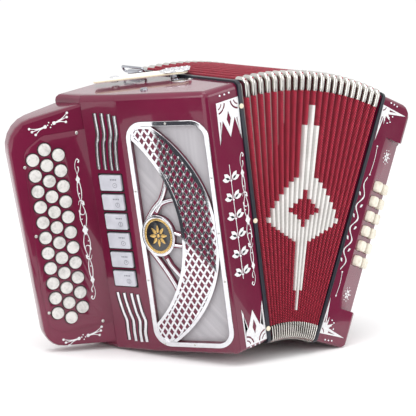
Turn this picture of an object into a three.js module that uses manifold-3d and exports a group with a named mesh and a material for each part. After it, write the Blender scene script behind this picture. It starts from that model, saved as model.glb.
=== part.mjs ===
// Three-row button accordion, standing with its bellows fanned open. Millimetres, +Z up.
// X runs along the bellows from the treble side (-X) to the bass side (+X); -Y is the front.
// Both cases are drawn upright in their own frames (x away from the bellows, z up from the
// bottom face) and are then leaned apart about Y.
import * as THREE from 'three';
import { mergeVertices } from 'three/addons/utils/BufferGeometryUtils.js';
import Module from 'manifold-3d';

const wasm = await Module();
wasm.setup();

const RAD = Math.PI / 180;

// ---- driving dimensions ----
const CASE_HEIGHT = 312;
const CASE_DEPTH = 185;
const EDGE_ROUND = 7;
const GAP = 0.3;

const FAN_ANGLE = 30.7;
const TREBLE_LEAN = 12.4;
const BASS_LEAN = FAN_ANGLE - TREBLE_LEAN;
const TREBLE_FOOT = [14.9, -92.3, 24.71];   // inner bottom front corner of the treble case
const BASS_FOOT_LOCAL = [67.69, -24.07];     // the bass case's same corner, in the treble frame

const FRONT_WIDTH = 51.6;                    // treble case, bellows side to front corner
const GRILLE_ANGLE = 27;                     // grille plane, turned from the YZ plane
const GRILLE_LENGTH = 110.4;
const STRIP_ANGLE = 21.4;                    // register strip, turned from the YZ plane
const STRIP_LENGTH = 46.8;
const BOARD_ANGLE = 69.9;                    // fingerboard plane, turned from the YZ plane
const COVER_THICK = 5;
const SOUNDBOARD_X = -30;                    // back of the reed room
const PALLET_DEPTH = 36;                     // room behind the cover for the key levers
const WALL = 7;

const BUTTON_RADIUS = 7.25;
const BUTTON_HOLE = 7.85;
const BUTTON_PITCH = 18.6;
const ROW_FIRST = 34.7;                      // inner row, from the valley
const ROW_SPACING = 15.07;
const ROW_CENTRE = 157.1;
const BUTTON_PROUD = 4;
const BUTTON_SUNK = 5;

const TAB_LENGTH = 28.7;
const TAB_HEIGHT = 18.7;
const TAB_PITCH = 23.4;
const TAB_START = 6.3;
const TAB_CENTRE = 151.4;

const BASS_WIDTH = 63;
const BASS_CORNER = 31;
const FACET_START = 27;
const FACET_ANGLE = 16;
const FACET_LOW = 46.5;
const FACET_HIGH = 264.5;
const BASS_COLUMNS = [12, 30];
const BASS_PITCH = 19;
const BASS_CENTRE = 156.4;
const BASS_BUTTON = 13.2;
const BASS_HOLE = 14.4;

const BRACKET_REST = 28;                     // lean of the loop at rest, from upright
const BRACKET = { x: -19, y: 163, rise: 3.6, halfWidth: 20, height: 8 };
const PLEATS = 21;
const PLEAT_PROUD = 3;
const PLEAT_DEPTH = 17;
const BELLOWS_WALL = 8;

// ---- materials ----
const lacquer = new THREE.MeshStandardMaterial({ color: 0x7a1632, roughness: 0.2 });
const cloth = new THREE.MeshStandardMaterial({ color: 0x9a1428, roughness: 0.9 });
const pearl = new THREE.MeshStandardMaterial({ color: 0xe9e6dc, roughness: 0.3 });
const cream = new THREE.MeshStandardMaterial({ color: 0xe2d6b4, roughness: 0.35 });
const chrome = new THREE.MeshStandardMaterial({ color: 0xc9ccd2, roughness: 0.15, metalness: 1 });
const whiteLeather = new THREE.MeshStandardMaterial({ color: 0xe8e4da, roughness: 0.6 });
const blackLeather = new THREE.MeshStandardMaterial({ color: 0x1c1a1b, roughness: 0.7 });
const blackPlastic = new THREE.MeshStandardMaterial({ color: 0x202024, roughness: 0.4 });

// ---- boolean helpers ----
function manifold(geometry) {
  const g = geometry.clone();
  g.deleteAttribute('normal');
  g.deleteAttribute('uv');
  const m = mergeVertices(g, 1e-4);
  const mesh = new wasm.Mesh({
    numProp: 3,
    vertProperties: new Float32Array(m.attributes.position.array),
    triVerts: new Uint32Array(m.index.array),
  });
  mesh.merge();
  return new wasm.Manifold(mesh);
}

function geometryOf(solid) {
  const mesh = solid.getMesh();
  const g = new THREE.BufferGeometry();
  g.setAttribute('position', new THREE.BufferAttribute(new Float32Array(mesh.vertProperties), 3));
  g.setIndex(new THREE.BufferAttribute(new Uint32Array(mesh.triVerts), 1));
  const flat = g.toNonIndexed();
  flat.computeVertexNormals();
  return flat;
}

function union(solids) {
  return solids.reduce((sum, s) => (sum ? sum.add(s) : s), null);
}

// ---- outlines ----
// Rounds the corners of a polygon; corner i gets radii[i], in `steps` chords.
function fillet(points, radii, steps = 4) {
  const out = [];
  points.forEach((p, i) => {
    const r = radii[i];
    if (!r) {
      out.push(p);
      return;
    }
    const a = new THREE.Vector2(...points[(i + points.length - 1) % points.length]);
    const b = new THREE.Vector2(...points[(i + 1) % points.length]);
    const c = new THREE.Vector2(...p);
    const toA = a.sub(c).normalize();
    const toB = b.sub(c).normalize();
    const half = Math.acos(THREE.MathUtils.clamp(toA.dot(toB), -1, 1)) / 2;
    const cut = r / Math.tan(half);
    const centre = c.clone().addScaledVector(toA.clone().add(toB).normalize(), r / Math.sin(half));
    const from = c.clone().addScaledVector(toA, cut).sub(centre);
    const to = c.clone().addScaledVector(toB, cut).sub(centre);
    const start = from.angle();
    let sweep = to.angle() - start;
    if (sweep > Math.PI) sweep -= 2 * Math.PI;
    if (sweep < -Math.PI) sweep += 2 * Math.PI;
    for (let k = 0; k <= steps; k += 1) {
      const t = start + (sweep * k) / steps;
      out.push([centre.x + r * Math.cos(t), centre.y + r * Math.sin(t)]);
    }
  });
  return out;
}

function shapeOf(points) {
  return new THREE.Shape(points.map(([x, y]) => new THREE.Vector2(x, y)));
}

// Prism over an XY outline, from z0 to z1.
function prism(points, z0, z1) {
  const g = new THREE.ExtrudeGeometry(shapeOf(points), { depth: z1 - z0, bevelEnabled: false });
  g.translate(0, 0, z0);
  return g;
}

// Prism over an XZ outline, from y0 to y1.
function prismY(points, y0, y1) {
  const g = new THREE.ExtrudeGeometry(shapeOf(points), { depth: y1 - y0, bevelEnabled: false });
  g.rotateX(Math.PI / 2);
  g.translate(0, y1, 0);
  return g;
}

function box(x0, x1, y0, y1, z0, z1) {
  const g = new THREE.BoxGeometry(x1 - x0, y1 - y0, z1 - z0);
  g.translate((x0 + x1) / 2, (y0 + y1) / 2, (z0 + z1) / 2);
  return g;
}

// Prism over an XY outline with quarter-round top and bottom edges. Points on x = 0 stay
// there, so the face towards the bellows keeps sharp edges.
function roundedPrism(points, height, radius, steps = 3) {
  const n = points.length;
  const inward = points.map((p, i) => {
    const a = points[(i + n - 1) % n];
    const b = points[(i + 1) % n];
    const normal = (q, r) => {
      const v = new THREE.Vector2(r[0] - q[0], r[1] - q[1]).normalize();
      return new THREE.Vector2(-v.y, v.x);
    };
    const flat = (q, r) => Math.abs(q[0]) < 1e-6 && Math.abs(r[0]) < 1e-6;
    const n1 = normal(a, p);
    const n2 = normal(p, b);
    const d1 = flat(a, p) ? 0 : 1;
    const d2 = flat(p, b) ? 0 : 1;
    const det = n1.x * n2.y - n1.y * n2.x;
    if (Math.abs(det) < 1e-3) return n1.multiplyScalar(d1);
    return new THREE.Vector2((d1 * n2.y - d2 * n1.y) / det, (n1.x * d2 - n2.x * d1) / det);
  });
  const low = [];
  for (let k = 0; k <= steps; k += 1) {
    const t = (k / steps) * (Math.PI / 2);
    low.push([radius * (1 - Math.cos(t)), radius * (1 - Math.sin(t))]);
  }
  const high = low.slice().reverse().map(([z, inset]) => [height - z, inset]);
  const all = [...low, ...high];
  const position = [];
  all.forEach(([z, inset]) => {
    points.forEach((p, i) => {
      position.push(p[0] + inward[i].x * inset, p[1] + inward[i].y * inset, z);
    });
  });
  const index = [];
  for (let k = 0; k + 1 < all.length; k += 1) {
    for (let i = 0; i < n; i += 1) {
      const j = (i + 1) % n;
      const a = k * n + i;
      const b = k * n + j;
      index.push(a, b, b + n, a, b + n, a + n);
    }
  }
  const ring = (k) => points.map((p, i) => new THREE.Vector2(
    position[(k * n + i) * 3], position[(k * n + i) * 3 + 1]));
  THREE.ShapeUtils.triangulateShape(ring(0), []).forEach(([a, b, c]) => index.push(a, c, b));
  const top = (all.length - 1) * n;
  THREE.ShapeUtils.triangulateShape(ring(all.length - 1), [])
    .forEach(([a, b, c]) => index.push(top + a, top + b, top + c));
  const g = new THREE.BufferGeometry();
  g.setAttribute('position', new THREE.Float32BufferAttribute(position, 3));
  g.setIndex(index);
  return g;
}

// ---- placing ----
const trebleMatrix = new THREE.Matrix4()
  .makeTranslation(...TREBLE_FOOT)
  .multiply(new THREE.Matrix4().makeRotationY(-TREBLE_LEAN * RAD));
const bassMatrix = trebleMatrix.clone()
  .multiply(new THREE.Matrix4().makeTranslation(BASS_FOOT_LOCAL[0], 0, BASS_FOOT_LOCAL[1]))
  .multiply(new THREE.Matrix4().makeRotationY(FAN_ANGLE * RAD));

// A face seen from outside: local x runs from `back` to `front` along it, y is up, z is out.
function faceMatrix(originX, originY, directionX, directionY) {
  const x = new THREE.Vector3(-directionX, -directionY, 0).normalize();
  const y = new THREE.Vector3(0, 0, 1);
  const z = new THREE.Vector3().crossVectors(x, y);
  return new THREE.Matrix4().makeBasis(x, y, z).setPosition(originX, originY, 0);
}

const root = new THREE.Group();
root.name = 'button_accordion';

function put(name, geometry, material, matrix) {
  const g = geometry.clone();
  g.applyMatrix4(matrix);
  g.computeVertexNormals();
  const mesh = new THREE.Mesh(g, material);
  mesh.name = name;
  root.add(mesh);
}

// ---- treble case plan ----
const along = (angle) => [-Math.sin(angle * RAD), Math.cos(angle * RAD)];
const outward = (angle) => [-Math.cos(angle * RAD), -Math.sin(angle * RAD)];
const step = (p, d, s) => [p[0] + d[0] * s, p[1] + d[1] * s];

const frontCorner = [-FRONT_WIDTH, 0];
const ridge = step(frontCorner, along(GRILLE_ANGLE), GRILLE_LENGTH);
const valley = step(ridge, along(STRIP_ANGLE), STRIP_LENGTH);
const backLeft = [valley[0] - 4, CASE_DEPTH];

const planOutline = fillet(
  [[0, 0], [0, CASE_DEPTH], backLeft, valley, ridge, frontCorner],
  [0, 0, 0, 0, 40, 9],
);

// The cover is the skin outside this line; the case body is what lies inside it.
function insideLine(depth) {
  const g = outward(GRILLE_ANGLE);
  const s = outward(STRIP_ANGLE);
  const mid = [(g[0] + s[0]) / 2, (g[1] + s[1]) / 2];
  return [
    step(frontCorner, g, -depth),
    step(ridge, mid, -depth),
    step(valley, s, -depth),
  ];
}

function coverRegion(depth, trim) {
  const [a, b, c] = insideLine(depth);
  return [
    [a[0] + trim * 0.4, -40],
    [a[0], a[1]],
    b,
    step(c, along(STRIP_ANGLE), -trim),
    step(step(c, along(STRIP_ANGLE), -trim), outward(STRIP_ANGLE), 40),
    step(ridge, outward(GRILLE_ANGLE), 40),
    [-140, -40],
  ];
}

const grilleFace = faceMatrix(...frontCorner, ...along(GRILLE_ANGLE));
const stripFace = faceMatrix(...ridge, ...along(STRIP_ANGLE));
const boardFace = faceMatrix(...valley, ...along(BOARD_ANGLE));

function local(geometry, matrix) {
  const g = geometry.clone();
  g.applyMatrix4(matrix);
  return g;
}

// ---- treble buttons: where they sit on the fingerboard ----
const trebleButtons = [];
[11, 12, 11].forEach((count, row) => {
  for (let k = 0; k < count; k += 1) {
    const u = ROW_FIRST + row * ROW_SPACING;
    const z = ROW_CENTRE + ((count - 1) / 2 - k) * BUTTON_PITCH;
    trebleButtons.push({ name: `treble_button_${row + 1}_${String(k + 1).padStart(2, '0')}`, u, z });
  }
});

// ---- treble case ----
const boardOutline = fillet(
  [[4, 9], [-84, 24], [-91.5, 294.5], [4, 304]],
  [0, 26, 34, 0],
  5,
).reverse();

function fingerboard() {
  const slab = new THREE.ExtrudeGeometry(shapeOf(boardOutline), {
    depth: 60, bevelEnabled: true, bevelThickness: 4, bevelSize: 4, bevelOffset: -4, bevelSegments: 2,
  });
  slab.translate(0, 0, -64);
  const keep = prism([
    [valley[0] + 3, valley[1] - 30],
    [-230, valley[1] - 30],
    [-230, CASE_DEPTH + 6],
    [-203, CASE_DEPTH + 4],
    [-125, CASE_DEPTH],
    [valley[0] + 3, CASE_DEPTH],
  ].reverse(), -10, 330);
  return manifold(local(slab, boardFace)).intersect(manifold(keep));
}

function buttonHoles() {
  return union(trebleButtons.map(({ u, z }) => {
    const g = new THREE.CylinderGeometry(BUTTON_HOLE, BUTTON_HOLE, 24, 16);
    g.rotateX(Math.PI / 2);
    g.translate(-u, z, 1);
    return manifold(local(g, boardFace));
  }));
}

function trebleCase() {
  const shell = manifold(roundedPrism(planOutline, CASE_HEIGHT, EDGE_ROUND));
  const coverSeat = manifold(prism(coverRegion(COVER_THICK + GAP, -GAP), -20, 340));
  const reedRoom = manifold(box(SOUNDBOARD_X, 20, WALL, CASE_DEPTH - WALL, WALL, CASE_HEIGHT - WALL));
  const palletRoom = manifold(prism([
    ...insideLine(COVER_THICK - 1),
    ...insideLine(PALLET_DEPTH).reverse(),
  ], WALL, CASE_HEIGHT - WALL)).intersect(manifold(
    box(-200, SOUNDBOARD_X - 5, WALL, CASE_DEPTH - WALL, 0, CASE_HEIGHT)));
  const blocks = [30, 84, 138].map((y) => manifold(
    box(SOUNDBOARD_X - 1, -4, y, y + 18, 26, CASE_HEIGHT - 26)));
  const saddle = manifold(box(
    BRACKET.x - 3.2, BRACKET.x + 3.2, BRACKET.y - 10, BRACKET.y + 10,
    CASE_HEIGHT - 1, CASE_HEIGHT + BRACKET.rise + 3.2));
  const pinHole = new THREE.CylinderGeometry(2, 2, 30, 12);
  pinHole.translate(BRACKET.x, BRACKET.y, CASE_HEIGHT + BRACKET.rise);
  const stud = new THREE.CylinderGeometry(4, 4, 3, 16);
  stud.rotateX(Math.PI / 2);
  stud.translate(-68, 86, CASE_HEIGHT + 0.3);
  return shell
    .subtract(reedRoom)
    .subtract(palletRoom)
    .add(union(blocks))
    .add(fingerboard())
    .subtract(coverSeat)
    .subtract(buttonHoles())
    .add(saddle)
    .subtract(manifold(pinHole))
    .add(manifold(stud));
}

// ---- grille cover ----
function grilleOpenings() {
  const plate = (outline) => manifold(local(prism(outline, -20, 20), grilleFace));
  const rim = plate(fillet([[-7, 15], [-97, 15], [-97, 276], [-7, 276]], [14, 14, 14, 14]).reverse());
  const disc = (x, y, r) => {
    const g = new THREE.CylinderGeometry(r, r, 40, 72);
    g.rotateX(Math.PI / 2);
    g.translate(x, y, 0);
    return manifold(local(g, grilleFace));
  };
  const band = disc(-164, 146.7, 158.5).subtract(disc(-207, 149.5, 157));
  const badge = new THREE.CylinderGeometry(1, 1, 40, 32);
  badge.rotateX(Math.PI / 2);
  badge.scale(20, 24, 1);
  badge.translate(-79, 146.6, 0);
  const strut = (points, width) => {
    const parts = [];
    points.forEach(([x1, y1], i) => {
      const joint = new THREE.CylinderGeometry(width / 2, width / 2, 40, 10);
      joint.rotateX(Math.PI / 2);
      joint.translate(x1, y1, 0);
      parts.push(manifold(local(joint, grilleFace)));
      if (i === 0) return;
      const [x0, y0] = points[i - 1];
      const g = new THREE.BoxGeometry(Math.hypot(x1 - x0, y1 - y0), width, 40);
      g.rotateZ(Math.atan2(y1 - y0, x1 - x0));
      g.translate((x0 + x1) / 2, (y0 + y1) / 2, 0);
      parts.push(manifold(local(g, grilleFace)));
    });
    return union(parts);
  };
  const struts = [
    strut([[-90, 167], [-81, 179], [-71.3, 188.7], [-65.4, 200.5], [-56, 226]], 6),
    strut([[-79, 174], [-72, 183.7], [-63, 187.7], [-48, 190]], 5),
    strut([[-92, 128], [-84, 116], [-75.5, 102], [-67.3, 85.8], [-58, 60]], 6),
    strut([[-74, 120], [-68.3, 108.3], [-50, 88]], 5),
    strut([[-64, 150], [-48, 146.6]], 4.5),
    strut([[-64, 134], [-48, 133.4]], 4.5),
  ];
  return rim.subtract(band)
    .subtract(manifold(local(badge, grilleFace)))
    .subtract(union(struts));
}

const tabSpots = [];
for (let k = 0; k < 6; k += 1) {
  tabSpots.push({ name: `register_tab_${k + 1}`, z: TAB_CENTRE + (2.5 - k) * TAB_PITCH });
}

function grilleCover() {
  const shell = manifold(roundedPrism(planOutline, CASE_HEIGHT, EDGE_ROUND));
  const skin = shell.intersect(manifold(prism(coverRegion(COVER_THICK, 0), -20, 340)));
  const windows = union(tabSpots.map(({ z }) => manifold(local(box(
    -(TAB_START + TAB_LENGTH + 0.9), -(TAB_START - 0.9),
    z - TAB_HEIGHT / 2 - 0.5, z + TAB_HEIGHT / 2 + 0.5, -20, 20), stripFace))));
  return skin.subtract(grilleOpenings()).subtract(windows);
}

put('treble_case', geometryOf(trebleCase()), lacquer, trebleMatrix);
put('treble_grille', geometryOf(grilleCover()), lacquer, trebleMatrix);

// ---- treble buttons ----
trebleButtons.forEach(({ name, u, z }) => {
  const profile = [
    [0, -BUTTON_SUNK],
    [BUTTON_RADIUS, -BUTTON_SUNK],
    [BUTTON_RADIUS, BUTTON_PROUD - 1.2],
    [BUTTON_RADIUS - 1.2, BUTTON_PROUD - 0.2],
    [0, BUTTON_PROUD + 0.3],
  ].map(([x, y]) => new THREE.Vector2(x, y));
  const g = new THREE.LatheGeometry(profile, 20);
  g.rotateX(Math.PI / 2);
  g.translate(-u, z, 0);
  put(name, local(g, boardFace), pearl, trebleMatrix);
});

// ---- register tabs ----
tabSpots.forEach(({ name, z }) => {
  const half = TAB_HEIGHT / 2;
  const outline = fillet(
    [[-TAB_LENGTH, -half], [0, -half], [0, half], [-TAB_LENGTH, half]], [1.5, 1.5, 1.5, 1.5], 2);
  const g = new THREE.ExtrudeGeometry(shapeOf(outline), {
    depth: 6.4, bevelEnabled: true, bevelThickness: 0.8, bevelSize: 0.8, bevelOffset: -0.8, bevelSegments: 1,
  });
  g.translate(-TAB_START, z, -4.2);
  put(name, local(g, stripFace), pearl, trebleMatrix);
});

// ---- bellows strap, stowed across the top of the treble case ----
function bellowsStrap() {
  const width = 21;
  const outline = fillet(
    [[-16, -width / 2], [94, -width / 2], [94, width / 2], [-16, width / 2]], [8, 10, 10, 8], 4);
  const band = manifold(prism(outline, CASE_HEIGHT + 5, CASE_HEIGHT + 8));
  const post = new THREE.CylinderGeometry(5, 5, 5.4, 16);
  post.rotateX(Math.PI / 2);
  post.translate(0, 0, CASE_HEIGHT + GAP + 2.7);
  const snap = new THREE.CylinderGeometry(4.5, 4.5, 3, 16);
  snap.rotateX(Math.PI / 2);
  snap.translate(70, 0, CASE_HEIGHT + 4);
  return band.add(manifold(post)).add(manifold(snap));
}

const strapPlace = new THREE.Matrix4()
  .makeTranslation(-10, 101, 0)
  .multiply(new THREE.Matrix4().makeRotationZ(136.7 * RAD));
put('bellows_strap', local(geometryOf(bellowsStrap()), strapPlace), whiteLeather, trebleMatrix);

// ---- shoulder strap bracket: a rod bent into a closed loop through its saddle ----
function rodLoop() {
  const rod = 1.5;
  const { halfWidth, height } = BRACKET;
  const outline = fillet(
    [[-halfWidth, 0], [halfWidth, 0], [halfWidth, height], [-halfWidth, height]], [3, 3, 3, 3], 3);
  const sides = 8;
  const n = outline.length;
  const position = [];
  const index = [];
  outline.forEach((p, i) => {
    const a = outline[(i + n - 1) % n];
    const b = outline[(i + 1) % n];
    const d1 = new THREE.Vector2(p[0] - a[0], p[1] - a[1]).normalize();
    const d2 = new THREE.Vector2(b[0] - p[0], b[1] - p[1]).normalize();
    const m = new THREE.Vector2(-(d1.y + d2.y), d1.x + d2.x).normalize();
    const stretch = 1 / Math.max(0.5, m.dot(new THREE.Vector2(-d1.y, d1.x)));
    for (let k = 0; k < sides; k += 1) {
      const t = ((k + 0.5) / sides) * 2 * Math.PI;
      const across = rod * Math.cos(t) * stretch;
      position.push(rod * Math.sin(t), p[0] + m.x * across, p[1] + m.y * across);
    }
  });
  for (let i = 0; i < n; i += 1) {
    const j = (i + 1) % n;
    for (let k = 0; k < sides; k += 1) {
      const l = (k + 1) % sides;
      const a = i * sides + k;
      const b = i * sides + l;
      const c = j * sides + l;
      const d = j * sides + k;
      index.push(a, b, c, a, c, d);
    }
  }
  const g = new THREE.BufferGeometry();
  g.setAttribute('position', new THREE.Float32BufferAttribute(position, 3));
  g.setIndex(index);
  g.rotateY(-BRACKET_REST * RAD);
  g.translate(BRACKET.x, BRACKET.y, CASE_HEIGHT + BRACKET.rise);
  return g;
}

put('shoulder_strap_bracket', rodLoop(), chrome, trebleMatrix);

// ---- bass case ----
const facetDirection = [Math.cos(FACET_ANGLE * RAD), Math.sin(FACET_ANGLE * RAD)];
const facetFace = new THREE.Matrix4().makeBasis(
  new THREE.Vector3(facetDirection[0], facetDirection[1], 0),
  new THREE.Vector3(0, 0, 1),
  new THREE.Vector3(facetDirection[1], -facetDirection[0], 0),
).setPosition(FACET_START, 0, 0);

const bassButtons = [];
BASS_COLUMNS.forEach((v, column) => {
  for (let k = 0; k < 6; k += 1) {
    const z = BASS_CENTRE + (2.5 - k) * BASS_PITCH;
    bassButtons.push({ name: `bass_button_${column + 1}_${k + 1}`, v, z });
  }
});

function roundedSquare(size, corner, steps) {
  const h = size / 2;
  return fillet([[-h, -h], [h, -h], [h, h], [-h, h]], [corner, corner, corner, corner], steps);
}

const WHEEL = { x: 59.5, y: 15.5, z: 268, radius: 9, thick: 6 };

function wheelBlank(radius, thick) {
  const g = new THREE.CylinderGeometry(radius, radius, thick, 24);
  g.translate(WHEEL.x, WHEEL.y, WHEEL.z);
  return g;
}

function bassCase() {
  const plan = fillet(
    [[0, 0], [BASS_WIDTH, 0], [BASS_WIDTH, CASE_DEPTH], [0, CASE_DEPTH]], [0, 8, 12, 0], 4);
  const elevation = fillet(
    [[-5, -5], [BASS_WIDTH, 0], [BASS_WIDTH, CASE_HEIGHT], [-5, CASE_HEIGHT + 5]],
    [0, 20, BASS_CORNER, 0], 6);
  elevation[0] = [-5, 0];
  elevation[elevation.length - 1] = [-5, CASE_HEIGHT];
  const shell = manifold(roundedPrism(plan, CASE_HEIGHT, 5))
    .intersect(manifold(prismY(elevation, -20, CASE_DEPTH + 20)));
  const reedRoom = manifold(box(-20, 26, WALL, CASE_DEPTH - WALL, WALL, CASE_HEIGHT - WALL));
  const leverRoom = manifold(box(30, BASS_WIDTH - 5, 30, CASE_DEPTH - 14, 30, CASE_HEIGHT - 30));
  const ports = union([60, 110].map((y) => manifold(box(20, 40, y, y + 12, 60, 250))));
  const lug = 10;
  const edge = (BASS_WIDTH - FACET_START) / facetDirection[0] - lug;
  const rounding = [0, 30, 60, 90].map((t) => [
    edge + lug * Math.sin(t * RAD),
    lug * (1 - Math.cos(t * RAD)),
  ]);
  const facet = manifold(local(prism([
    [-5, FACET_LOW],
    ...rounding.map(([v, rise]) => [v, FACET_LOW - rise]),
    [80, FACET_LOW - lug],
    [80, FACET_HIGH + lug],
    ...rounding.map(([v, rise]) => [v, FACET_HIGH + rise]).reverse(),
    [-5, FACET_HIGH],
  ], 0, 60), facetFace));
  const holes = union(bassButtons.map(({ v, z }) => {
    const g = prism(roundedSquare(BASS_HOLE, 4.4, 2), -10, 12);
    g.translate(v, z, 0);
    return manifold(local(g, facetFace));
  }));
  const blocks = [44, 122].map((y) => manifold(box(5, 27, y, y + 18, 30, CASE_HEIGHT - 30)));
  return shell
    .subtract(reedRoom)
    .subtract(leverRoom)
    .subtract(ports)
    .add(union(blocks))
    .subtract(facet)
    .subtract(holes)
    .subtract(manifold(wheelBlank(WHEEL.radius + 0.6, WHEEL.thick + 1)));
}

put('bass_case', geometryOf(bassCase()), lacquer, bassMatrix);

bassButtons.forEach(({ name, v, z }) => {
  const g = new THREE.ExtrudeGeometry(shapeOf(roundedSquare(BASS_BUTTON, 4, 3)), {
    depth: 10, bevelEnabled: true, bevelThickness: 1.2, bevelSize: 1.2, bevelOffset: -1.2, bevelSegments: 1,
  });
  g.translate(v, z, -5);
  put(name, local(g, facetFace), cream, bassMatrix);
});

// ---- hand strap and its adjusting wheel ----
function handStrap() {
  const outer = [];
  const inner = [];
  const steps = 12;
  for (let k = 0; k <= steps; k += 1) {
    const t = k / steps;
    const z = 26 + t * 260;
    const bow = 26 * Math.sin(Math.PI * t) ** 0.8;
    inner.push([BASS_WIDTH + GAP + bow, z]);
    outer.push([BASS_WIDTH + GAP + 3 + bow, z]);
  }
  return prismY([...inner, ...outer.reverse()].reverse(), 62, 132);
}

put('hand_strap', handStrap(), blackLeather, bassMatrix);
put('strap_wheel', wheelBlank(WHEEL.radius, WHEEL.thick), blackPlastic, bassMatrix);

// ---- bellows: a folded tube, its frames fanned about a point below the cases ----
function bellows() {
  const turn = FAN_ANGLE * RAD;
  const fixed = new THREE.Vector2(...BASS_FOOT_LOCAL);
  const c = Math.cos(turn);
  const s = Math.sin(turn);
  const scale = 1 / ((1 - c) * (1 - c) + s * s);
  const centre = new THREE.Vector2(
    ((1 - c) * fixed.x + s * fixed.y) * scale,
    (-s * fixed.x + (1 - c) * fixed.y) * scale,
  );
  const place = (f, y, z) => {
    const a = f * turn;
    const x0 = -centre.x;
    const z0 = z - centre.y;
    return [
      centre.x + x0 * Math.cos(a) + z0 * Math.sin(a),
      y,
      centre.y - x0 * Math.sin(a) + z0 * Math.cos(a),
    ];
  };
  const margin = 0.004;
  const rings = [];
  for (let k = 0; k <= 2 * PLEATS; k += 1) {
    const f = margin + (1 - 2 * margin) * (k / (2 * PLEATS));
    const end = k === 0 || k === 2 * PLEATS;
    const valleyInset = end ? -1 : PLEAT_DEPTH - PLEAT_PROUD;
    rings.push([f, k % 2 ? -PLEAT_PROUD : valleyInset]);
  }
  const loop = (f, d) => [
    place(f, d, d),
    place(f, CASE_DEPTH - d, d),
    place(f, CASE_DEPTH - d, CASE_HEIGHT - d),
    place(f, d, CASE_HEIGHT - d),
  ];
  const position = [];
  const index = [];
  rings.forEach(([f, d]) => loop(f, d).forEach((p) => position.push(...p)));
  const innerStart = position.length / 3;
  rings.forEach(([f, d]) => loop(f, d + BELLOWS_WALL).forEach((p) => position.push(...p)));
  const quad = (a, b, e, g) => index.push(a, e, b, a, g, e);
  for (let k = 0; k + 1 < rings.length; k += 1) {
    for (let i = 0; i < 4; i += 1) {
      const j = (i + 1) % 4;
      quad(k * 4 + i, (k + 1) * 4 + i, (k + 1) * 4 + j, k * 4 + j);
      const q = innerStart;
      quad(q + k * 4 + i, q + k * 4 + j, q + (k + 1) * 4 + j, q + (k + 1) * 4 + i);
    }
  }
  const last = (rings.length - 1) * 4;
  for (let i = 0; i < 4; i += 1) {
    const j = (i + 1) % 4;
    quad(i, j, innerStart + j, innerStart + i);
    quad(last + i, innerStart + last + i, innerStart + last + j, last + j);
  }
  const g = new THREE.BufferGeometry();
  g.setAttribute('position', new THREE.Float32BufferAttribute(position, 3));
  g.setIndex(index);
  return g;
}

put('bellows', bellows(), cloth, trebleMatrix);

export default root;
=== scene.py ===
import math
import bmesh
import bpy
import numpy as np
from mathutils import Matrix, Vector


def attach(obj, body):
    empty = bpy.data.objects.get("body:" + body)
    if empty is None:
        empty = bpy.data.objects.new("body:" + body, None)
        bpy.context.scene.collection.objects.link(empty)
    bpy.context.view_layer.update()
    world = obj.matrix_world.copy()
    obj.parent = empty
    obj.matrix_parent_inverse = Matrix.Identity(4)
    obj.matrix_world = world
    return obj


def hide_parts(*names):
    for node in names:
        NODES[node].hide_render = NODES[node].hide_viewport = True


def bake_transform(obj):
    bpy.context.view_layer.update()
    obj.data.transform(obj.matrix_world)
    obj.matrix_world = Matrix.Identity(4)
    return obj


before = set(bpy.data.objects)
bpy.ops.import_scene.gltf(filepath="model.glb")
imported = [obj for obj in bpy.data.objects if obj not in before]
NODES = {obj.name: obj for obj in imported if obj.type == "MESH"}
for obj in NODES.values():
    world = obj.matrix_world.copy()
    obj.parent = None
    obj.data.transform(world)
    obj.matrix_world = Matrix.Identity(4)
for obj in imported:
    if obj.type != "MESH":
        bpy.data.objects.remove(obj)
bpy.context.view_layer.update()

scene = bpy.context.scene

# Driving dimensions, in mm and degrees, the same as in the part's source.
CASE_HEIGHT = 312.0
CASE_DEPTH = 185.0
FAN_ANGLE = 30.7
TREBLE_LEAN = 12.4
TREBLE_FOOT = (14.9, -92.3, 24.71)
BASS_FOOT = (67.69, -24.07)
FRONT_WIDTH = 51.6
GRILLE_ANGLE = 27.0
GRILLE_LENGTH = 110.4
STRIP_ANGLE = 21.4
STRIP_LENGTH = 46.8
BOARD_ANGLE = 69.9
FACET_START = 27.0
FACET_ANGLE = 16.0
PLEATS = 21
BASS_WIDTH = 63.0
BRACKET_REST = 28.0
BRACKET = (-19.0, 163.0, 3.6)
WHEEL = (59.5, 15.5, 268.0)
BUTTON_ROWS = (11, 12, 11)
BUTTON_FIRST_ROW, BUTTON_ROW_GAP = 34.7, 15.07
BUTTON_MIDDLE, BUTTON_PITCH = 157.1, 18.6
TAB_MIDDLE, TAB_PITCH, TAB_EDGE = 151.4, 23.4, 6.3
BASS_MIDDLE, BASS_PITCH, BASS_COLUMNS = 156.4, 19.0, (12, 30)
HAND_FOOT, HAND_LENGTH, HAND_BOW = 26, 260, 26
HAND_EDGE, HAND_WIDTH = 62, 70


# ---- places: arrays of (a, b, n) in mm to world metres ----
def turn(x, z, degrees):
    c, s = math.cos(math.radians(degrees)), math.sin(math.radians(degrees))
    return c * x - s * z, s * x + c * z


def treble(p):
    p = np.asarray(p, float)
    x, z = turn(p[:, 0], p[:, 2], TREBLE_LEAN)
    out = np.stack([x + TREBLE_FOOT[0], p[:, 1] + TREBLE_FOOT[1], z + TREBLE_FOOT[2]], 1)
    return out / 1000.0


def bass(p):
    p = np.asarray(p, float)
    x, z = turn(p[:, 0], p[:, 2], -FAN_ANGLE)
    return treble(np.stack([x + BASS_FOOT[0], p[:, 1], z + BASS_FOOT[1]], 1))


def along(angle):
    a = math.radians(angle)
    return np.array([-math.sin(a), math.cos(a)])


def outward(angle):
    a = math.radians(angle)
    return np.array([-math.cos(a), -math.sin(a)])


def upright_face(origin, direction, normal, place):
    """A face standing up in a case: (distance from its edge, height, lift off the face)."""
    def put(p):
        flat = origin + p[:, :1] * direction + p[:, 2:3] * normal
        return place(np.column_stack([flat[:, 0], flat[:, 1], p[:, 1]]))
    return put


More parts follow.
